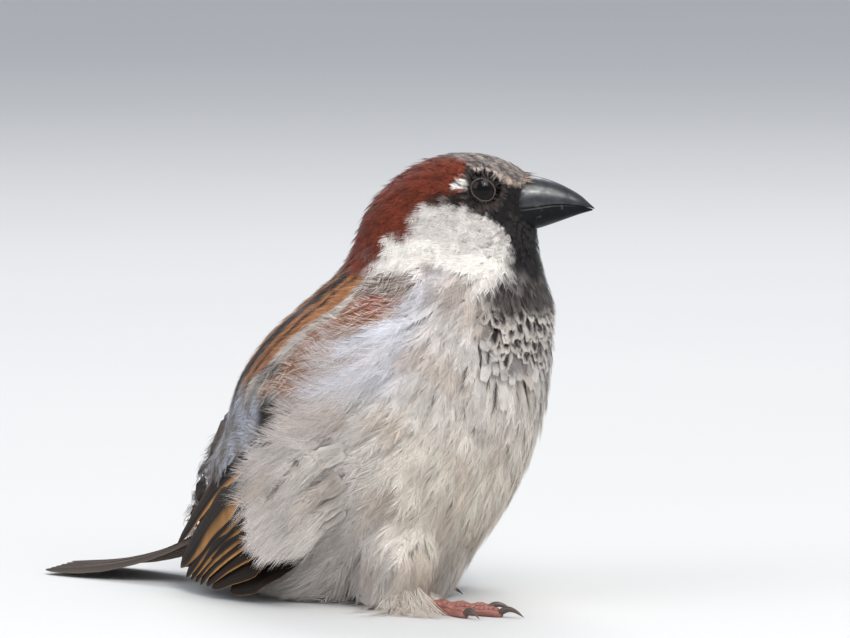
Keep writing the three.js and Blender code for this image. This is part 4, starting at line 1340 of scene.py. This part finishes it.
# %% Rictal bristles
bristle_shop = Shop("bristle", Roughness=0.5, Specular_IOR_Level=0.3)
black, grey = (*srgb(14, 12, 12), 1), (*srgb(34, 29, 28), 1)
bristle_shop.feed("Base Color", bristle_shop.mix(bristle_shop.noise(900.0), black, grey))
bristle_sizes = {"Length": 0.0024, "Thickness": 0.00004}
bristle_tree = repeating_tree("bristles", "bristle", bristle_shop.material, bristle_sizes)
places, along, size = [], [], []
for sign in (-1, 1):
    for i in range(26):
        high = dice.uniform(0, 1)
        root = [11.7 + dice.uniform(0, 0.9), sign * (4.5 + 0.35 * np.sin(np.pi * high)), 71.6 + 6.4 * high]
        places.append(from_head(root))
        along.append(from_head([1, sign * dice.uniform(0.12, 0.45), dice.normal(-0.12, 0.16)]))
        size.append(dice.uniform(0.55, 1.1))
along = unit(np.array(along))
piece = repeated("rictal_bristles", np.array(places), along, unit(np.cross(along, UP)), np.array(size),
                 bristle_tree, Length=0.0022)
finish_piece(piece, bristle_shop.material, "bill_horn")
print("bristles", len(places))

# %% [markdown]
# ## Legs, toes and claws
# Each toe is a tube with pads below and plates above. The paths match the solids of the frame.

# %% Feet
FEET = {"right": ([6.3, -13], 5), "left": ([-23, 8.5], 6)}
# For each toe: degrees from straight ahead, its own length and its claw's.
TOES = {"hallux": (176, 8.6, 6.2), "inner": (25, 9.4, 4.6), "middle": (0, 13.6, 5.0),
        "outer": (-24, 9.8, 4.4)}
TOE_START, TOE_RADIUS = 1.7, 1.05


def tube(centres, radii, flatten=None, points=20):
    """Rings round a line: centres and radii give the line, flatten squeezes the rings' lower halves."""
    heading = unit(np.gradient(centres, axis=0))
    beside = unit(np.cross(heading, UP))
    top = np.cross(beside, heading)
    angle = np.linspace(0, 2 * np.pi, points, endpoint=False)
    up_part = np.sin(angle)[None] * np.ones((len(radii), 1))
    if flatten is not None:
        up_part = np.where(up_part < 0, up_part * flatten, up_part)
    return centres[:, None] + radii[:, None, None] * (
        np.cos(angle)[None, :, None] * beside[:, None] + up_part[..., None] * top[:, None])


def toe_line(joint, heading, distance, height):
    turn = math.radians(heading)
    return np.stack([joint[0] + distance * math.cos(turn), joint[1] + distance * math.sin(turn), height], -1)


scale_shop = Shop("leg_scales", Specular_IOR_Level=0.5, Coat_Weight=0.35, Coat_Roughness=0.15)
cells = scale_shop.node("ShaderNodeTexVoronoi", {}, {"Vector": scale_shop.place(), "Scale": 2200.0})
blotch = scale_shop.noise(350.0)
scale_shop.feed("Base Color", scale_shop.mix(blotch, (*srgb(104, 54, 46), 1), (*srgb(172, 112, 98), 1)))
scale_shop.feed("Roughness", cells * 0.2 + 0.32)
scale_shop.bump(cells, 0.35, 0.0001)
claw_shop = Shop("claw_horn", Roughness=0.35, Coat_Weight=0.2)
dark, pale = (*srgb(50, 40, 37), 1), (*srgb(92, 74, 64), 1)
claw_shop.feed("Base Color", claw_shop.mix(claw_shop.noise(600.0), dark, pale))

plate_sizes = {"Length": 0.00075, "Width": 0.0009, "Height": 0.00055}
plate_tree = repeating_tree("scutes", "plate", scale_shop.material, plate_sizes)
for side, sign in (("right", -1), ("left", 1)):
    joint, turn = FEET[side]
    plates = []  # place, along and size of each plate on top of the toes
    t = np.linspace(0, 1, 26)
    shank_line = toe_line(joint, turn, curve([-8.5, -4, 0.1, 1.3], t), curve([5.4, 3.2, 1.25, 1.2], t))
    shank = mesh_from(f"shank_skin_{side}", *closed_loft(tube(shank_line, curve([1.25, 1.12, 1.12, 0.9], t))))
    face_outwards(shank)
    finish_piece(shank, scale_shop.material, "leg_scale", f"shank_{side}")
    for toe, (swing, length, claw_length) in TOES.items():
        heading = turn - sign * swing
        t = np.linspace(0, 1, 60)
        knuckle = 0.09 * np.cos(t * 2 * np.pi * (2 if toe == "hallux" else 3)) * ease(t, 0, 0.1)
        radii = TOE_RADIUS * (1.05 - 0.3 * t) - knuckle
        radii = radii * np.where(t > 0.95, 1 - 5 * (t - 0.95), 1)
        line = toe_line(joint, heading, TOE_START - 1.2 + (length + 1.2) * t, radii * 0.86)
        piece = mesh_from(f"toe_skin_{side}_{toe}", *closed_loft(tube(line, radii, 0.84)))
        face_outwards(piece)
        for step in range(6, 56, 4):
            away = unit(line[step + 1] - line[step])
            plates.append((line[step] + UP * radii[step] * 0.8, unit(away + 0.22 * UP), radii[step]))
            # Pads under the toe's joints bulge to either side.
            if step % 16 == 6:
                plates.append((line[step] - UP * radii[step] * 0.18, away, radii[step] * 1.28))
        finish_piece(piece, scale_shop.material, "leg_scale", f"toe_{side}_{toe}")
        start, reach = TOE_START + length - 0.3, claw_length * 0.86 + 0.6
        line = toe_line(joint, heading, start + reach * t, curve([0.95, 1.45, 1.62, 1.4, 0.95, 0.3], t))
        thick = curve([0.6, 0.6, 0.5, 0.38, 0.24, 0.04], t)
        piece = mesh_from(f"claw_horn_{side}_{toe}", *closed_loft(tube(line, thick)))
        face_outwards(piece)
        finish_piece(piece, claw_shop.material, "claw_horn", f"claw_{side}_{toe}")
    places, along, size = (np.array([plate[k] for plate in plates]) for k in range(3))
    outward = np.broadcast_to(UP, places.shape)
    piece = repeated(f"toe_scutes_{side}", places, along, outward, size, plate_tree, Width=0.00088)
    finish_piece(piece, scale_shop.material, "leg_scale")
    print(piece.name, len(plates), "plates")
print("feet made")

# %% [markdown]
# ## Flight feathers
# The long feathers of the wings and tail are stiff: a shaft, a narrow outer web and a wider inner one, dark
# with a buff outer edge. Each is a curved grid of faces drawn along a line, raised along the shaft and nicked
# where the web has parted, so that folded feathers lie over each other like the leaves of a fan.

# %% Long feather maker
def long_feather(path, up, width, look, dice, flip=False, rows=30):
    """Points, faces, normals' sides, colours and web coordinates of one flight feather along a path."""
    across = np.array([-1, -0.92, -0.82, -0.7, -0.58, -0.44, -0.28, -0.07, 0.0, 0.07, 0.28, 0.5, 0.75, 1.0])
    t = np.linspace(0, 1, rows)
    place = np.stack([np.interp(t, np.linspace(0, 1, len(path)), path[:, k]) for k in range(3)], -1)
    normal = unit(np.stack([np.interp(t, np.linspace(0, 1, len(up)), up[:, k]) for k in range(3)], -1))
    beside = unit(np.cross(normal, np.gradient(place, axis=0))) * (-1 if flip else 1)
    taper = look.get("taper", 0.72)
    round_tip = np.sqrt(np.clip(1 - (np.clip(t - taper, 0, 1) / (1.005 - taper)) ** 2.2, 0.0, 1))
    half = width * round_tip * (0.45 + 0.55 * ease(t, 0, 0.3))
    web = np.where(across < 0, look["outer"], look["inner"])
    out = across[None] * web * half[:, None]
    # Nicks: a few rows of the web draw in a little.
    nick = 1 - 0.05 * (dice.random((rows, 2)) > 0.8) * ease(t, 0.3, 0.6)[:, None]
    out = out * np.where(across[None] < 0, nick[:, :1], nick[:, 1:])
    ridge = 0.16 * np.exp(-(across / 0.08) ** 2) * (1 - 0.7 * t)[:, None]
    lift = ridge - 0.08 * np.abs(across[None]) ** 1.6 * half[:, None] * web
    points = place[:, None] + beside[:, None] * out[..., None] + normal[:, None] * lift[..., None]
    grid = np.arange(rows * len(across)).reshape(rows, -1)
    faces = np.stack([grid[:-1, :-1], grid[1:, :-1], grid[1:, 1:], grid[:-1, 1:]], -1).reshape(-1, 4)
    if flip:
        faces = faces[:, ::-1]
    shape = out.shape + (3,)
    tint = np.broadcast_to(look["main"], shape).copy()
    inset = (across[None] + 1) * look["outer"] * half[:, None]
    # The buff edge is widest along the feather's middle and gone at its tip.
    buff = look["buff"] * ((0.35 + 0.65 * ease(t, 0.05, 0.4)) * (1 - 0.8 * ease(t, 0.66, 0.95)))[:, None]
    fringe = (1 - ease(inset, buff * 0.35, buff * 1.35 + 0.05)) * (across < 0)
    fringe = fringe * (1 - 0.75 * ease(t, 0.84, 0.97))[:, None]
    tint = mixed(tint, look["fringe"], fringe * (0.7 + 0.3 * dice.random((rows, 1))))
    inner = ease(across, 0.6, 1.0)[None] * 0.2 * np.ones((rows, 1))
    tint = mixed(tint, look["fringe"] * 0.8, inner)
    tint = mixed(tint, look["main"] * 0.6, np.exp(-(across / 0.06) ** 2)[None] * 0.8 * np.ones((rows, 1)))
    points[..., 2] = np.maximum(points[..., 2], 0.12)
    length = np.linalg.norm(np.diff(place, axis=0), axis=1).sum()
    vane = np.stack([out, np.broadcast_to((t * length)[:, None], out.shape)], -1)
    flat = np.stack(np.broadcast_arrays(across * 0.45 + 0.5, t[:, None] * 0.96 + 0.02), -1)
    return points.reshape(-1, 3), faces, tint.reshape(-1, 3), vane.reshape(-1, 2), flat.reshape(-1, 2)


def long_feathers(name, paths, ups, widths, looks, seed, flip=False):
    dice = np.random.default_rng(seed)
    parts = [long_feather(*each, dice, flip) for each in zip(paths, ups, widths, looks)]
    size = len(parts[0][0])
    points = np.concatenate([p[0] for p in parts])
    faces = np.concatenate([p[1] + i * size for i, p in enumerate(parts)])
    tint, vane = (np.concatenate([p[k] for p in parts]) for k in (2, 3))
    flat = np.concatenate([(p[4] + [i, 0]) / [len(parts), 1] for i, p in enumerate(parts)])
    piece = mesh_from(name, points, [faces], np.clip(tint, 0.002, 1), flat)
    layer = piece.data.uv_layers.new(name="vane")
    layer.data.foreach_set("uv", vane[faces.ravel()].astype(np.float32).ravel())
    return piece


# Barb lines run out and forward from the shaft: a fine ripple of colour and height in the web's own
# millimetres.
quill = Shop("flight_feather", Specular_IOR_Level=0.14)
web = quill.node("ShaderNodeSeparateXYZ", {}, [quill.node("ShaderNodeUVMap", {"uv_map": "vane"}, {})])
out_web = quill.node("ShaderNodeMath", {"operation": "ABSOLUTE"}, [web])
along_web = Wire(quill, web.socket.node.outputs[1])
lane = quill.node("ShaderNodeCombineXYZ", {}, [(along_web - out_web * 0.9) * 3.2, out_web * 0.12, 0.0])
barb_lines = quill.node("ShaderNodeTexNoise", {}, {"Vector": lane, "Scale": 1.0, "Detail": 3.0})
# Longer streaks run with the shaft, as the buff edges show.
grain = quill.node("ShaderNodeCombineXYZ", {}, [along_web * 0.12, out_web * 5.0, 0.0])
long_lines = quill.node("ShaderNodeTexNoise", {}, {"Vector": grain, "Scale": 1.0, "Detail": 2.0})
strength = (barb_lines * 0.9 + 0.55) * (long_lines * 1.1 + 0.45)
quill_tint = quill.node("ShaderNodeVertexColor", {"layer_name": "tint"}, {})
grey = quill.node("ShaderNodeCombineColor", {}, [strength] * 3)
quill.feed("Base Color", quill.mix(1.0, quill_tint, grey, "MULTIPLY"))
quill.feed("Roughness", barb_lines * 0.3 + 0.5)
quill.bump(barb_lines, 0.5, 0.0001)
print("long feather finish has", len(quill.tree.nodes), "nodes")

# %% [markdown]
# ## Wings
# Folded, the feathers lie over each other like a fan: the three tertials with their broad buff edges on top,
# then the secondaries, then the narrow primaries, and each shows little but its outer edge. So each is placed
# by that edge, and its web runs up from there under the next one.

# %% Wing feathers
# For each feather, top one first: its outer edge from root to tip as ahead, out and up, then how wide its
# outer and inner webs and its buff edge are. All in millimetres.
WING_EDGES = [
    ([(-16, 27, 29.5), (-23.4, 25.3, 26.9), (-31.3, 21.0, 22.9), (-39.3, 15.4, 19.0),
      (-46.5, 12.2, 13.2), (-52.9, 10.4, 6.8)], 1.9, 3.6, 1.0),
    ([(-15, 27, 24.5), (-24.4, 25, 20.7), (-31.6, 21.3, 16.6), (-38.0, 18.2, 12.3),
      (-43.4, 16.2, 7.7), (-49.5, 14.2, 2.2)], 3.4, 5.5, 2.9),
    ([(-15, 27, 21.6), (-24.4, 25.2, 18.3), (-32.6, 20.9, 13.6), (-39.3, 18.2, 8.9),
      (-44.2, 16.6, 4.5), (-47.2, 15.6, 1.8)], 1.6, 3.6, 0.85),
    ([(-15, 27, 19), (-23.9, 25.5, 16.1), (-31.5, 21.6, 12.1), (-37.6, 19.6, 8.0),
      (-41.9, 17.9, 4.7), (-45.2, 16.8, 1.6)], 1.5, 3.4, 0.75),
    ([(-15, 26.6, 17), (-23.6, 25.2, 14.3), (-30.8, 22.2, 10.7), (-35.9, 20.6, 7.7),
      (-40.2, 18.9, 4.7), (-43.6, 17.6, 1.4)], 1.5, 3.2, 0.65),
    ([(-15, 26, 15), (-23.8, 24.6, 12.5), (-29.8, 22.6, 9.5), (-34.3, 21.4, 6.9),
      (-38.8, 19.7, 4.0), (-42.0, 18.4, 1.2)], 1.4, 3.2, 0.55),
    ([(-14, 25.4, 12.8), (-22, 24.4, 10.4), (-28, 23.2, 7.8), (-34, 21.5, 4.9),
      (-39.8, 19.6, 1.2)], 1.4, 3.0, 0.35),
    # The last three lie low in the shade under the wing and have almost no buff edge: their dark colour is
    # painted shade.
    ([(-12, 24, 10), (-20, 23.8, 7.2), (-27, 23, 4.9), (-34, 21.5, 2.6),
      (-37.8, 20.6, 1.0)], 1.4, 3.4, 0.06),
    ([(-10, 22, 7), (-17, 22.6, 4.6), (-24, 22.3, 2.8), (-30, 21.6, 1.4),
      (-33.5, 21, 0.8)], 1.4, 3.4, 0.05),
    ([(-24, 20, 18), (-32, 17.5, 13.6), (-40, 14.6, 9.0), (-47.5, 11.8, 5.4),
      (-54, 9.8, 2.4)], 3.0, 7.5, 0.1),
]
for side, sign in (("right", -1), ("left", 1)):
    paths, ups, widths, looks = [], [], [], []
    for order, (edge, outer, inner, buff) in enumerate(WING_EDGES[::-1]):
        edge = np.array(edge) * [1, sign, 1]
        t = np.linspace(0, 1, 24)
        line = np.stack([curve(edge[:, k], t) for k in range(3)], -1)
        bend = ease(-line[:, 0], 16, 50)
        normal = unit(np.stack([-0.2 - 0.38 * bend, sign * (0.95 - 0.17 * bend), 0.12 + 0.16 * bend], -1))
        upper_side = unit(np.cross(normal, np.gradient(line, axis=0)))
        upper_side = upper_side * np.sign(upper_side[:, 2:])
        # The roots lie under the flank's plumes: on the body's own surface, and below it.
        shown = ease(-line[:, 0], 19, 28)
        line = mixed(on_surface(line)[0], line, ease(-line[:, 0], 20, 27)) + upper_side * outer * 0.9
        lift = (0.1 + 0.1 * order) * shown - 2.4 * (1 - shown)
        paths.append(line + normal * lift[:, None])
        ups.append(normal)
        widths.append(1.0)
        main = QUILL_DARK * (1 if order > 4 else 1.15)
        fringe = QUILL_EDGE * (0.6 + 0.06 * (order * 3 % 7))
        looks.append({"main": main, "fringe": fringe, "outer": outer, "inner": inner, "buff": buff,
                      "taper": 0.6})
    piece = long_feathers(f"quills_{side}", paths, ups, widths, looks, 50, flip=sign < 0)
    finish_piece(piece, quill.material, "flight_feathers")
    print(piece.name, len(paths), "feathers")

# %% [markdown]
# ## Tail
# Twelve long feathers in a shallow fan, laid on the ground.

# %% Tail feathers
TAIL_LINE = np.array([[-37, 0, 19.5], [-48.5, 0, 12.5], [-60.5, 0, 6], [-73.5, 0, 2.2], [-87.5, 0, 0.75]])
TAIL_HALF = [3.4, 5, 7, 9, 10.6]
t = np.linspace(0, 1, 14)
paths, ups, looks = [], [], []
for layer, place in enumerate([5, -6, 4, -5, 3, -4, 2, -3, 1, -2, 0, -1]):
    share = (place + 0.5) / 6 * 0.8
    line = np.stack([curve(TAIL_LINE[:, k], t) for k in range(3)], -1)
    line[:, 1] = share * curve(TAIL_HALF, t)
    line[:, 2] += 0.1 + 0.09 * layer + 0.9 * (1 - t) * (1 - share ** 2)
    line[:, 0] -= t * 1.2 * abs(share) - 0.6
    paths.append(line)
    ups.append(unit(np.stack([0.5 * (1 - t), share * 0.3 + 0 * t, 1 + 0 * t], -1)))
    looks.append({"main": srgb(62, 52, 46), "fringe": srgb(164, 140, 112), "outer": 2.0, "inner": 3.0,
                  "buff": 0.35})
piece = long_feathers("tail_feathers", paths, ups, [1.0] * len(paths), looks, 60)
finish_piece(piece, quill.material, "tail_feathers", "tail")
print("tail made")

# %% [markdown]
# ## Floor and light
# A plain pale floor and large soft lamps, as in a studio.

# %% Studio
FLOOR_HALF = 6000  # millimetres from its middle to each edge
corners = FLOOR_HALF * np.array([[-1, -1, 0], [1, -1, 0], [1, 1, 0], [-1, 1, 0]]) - NECK
floor = mesh_from("floor", corners, [np.array([[0, 1, 2, 3]])])
floor_shop = Shop("pale_floor", Roughness=0.9)
grey, pale_grey = (*srgb(204, 204, 202), 1), (*srgb(212, 212, 210), 1)
floor_shop.feed("Base Color", floor_shop.mix(floor_shop.noise(3.0), grey, pale_grey))
floor.data.materials.append(floor_shop.material)

world = bpy.data.worlds.new("studio")
bpy.context.scene.world = world
world.use_nodes = True
world.node_tree.nodes["Background"].inputs[0].default_value = (0.86, 0.9, 1.0, 1)
world.node_tree.nodes["Background"].inputs[1].default_value = 0.66


def lamp(name, azimuth, elevation, distance, size, power, colour=(1, 1, 1)):
    light = bpy.data.lights.new(name, "AREA")
    light.size, light.energy, light.color = size, power, colour
    piece = bpy.data.objects.new(name, light)
    bpy.context.collection.objects.link(piece)
    a, e = math.radians(azimuth), math.radians(elevation)
    back = Vector((math.sin(a) * math.cos(e), -math.cos(a) * math.cos(e), math.sin(e)))
    piece.location = Vector(aim) + back * distance
    piece.rotation_mode = "QUATERNION"
    piece.rotation_quaternion = (-back).to_track_quat("-Z", "Y")


lamp("key", 60, 45, 1.2, 0.8, 10.5, (1, 0.97, 0.93))
lamp("glint", 57, 40, 1.2, 0.07, 2)
lamp("fill", -20, 30, 1.4, 1.0, 6.5, (0.95, 0.97, 1))
lamp("rim", 215, 50, 1.3, 0.6, 7)
bpy.context.scene.view_settings.view_transform = "Standard"
print("studio lit")
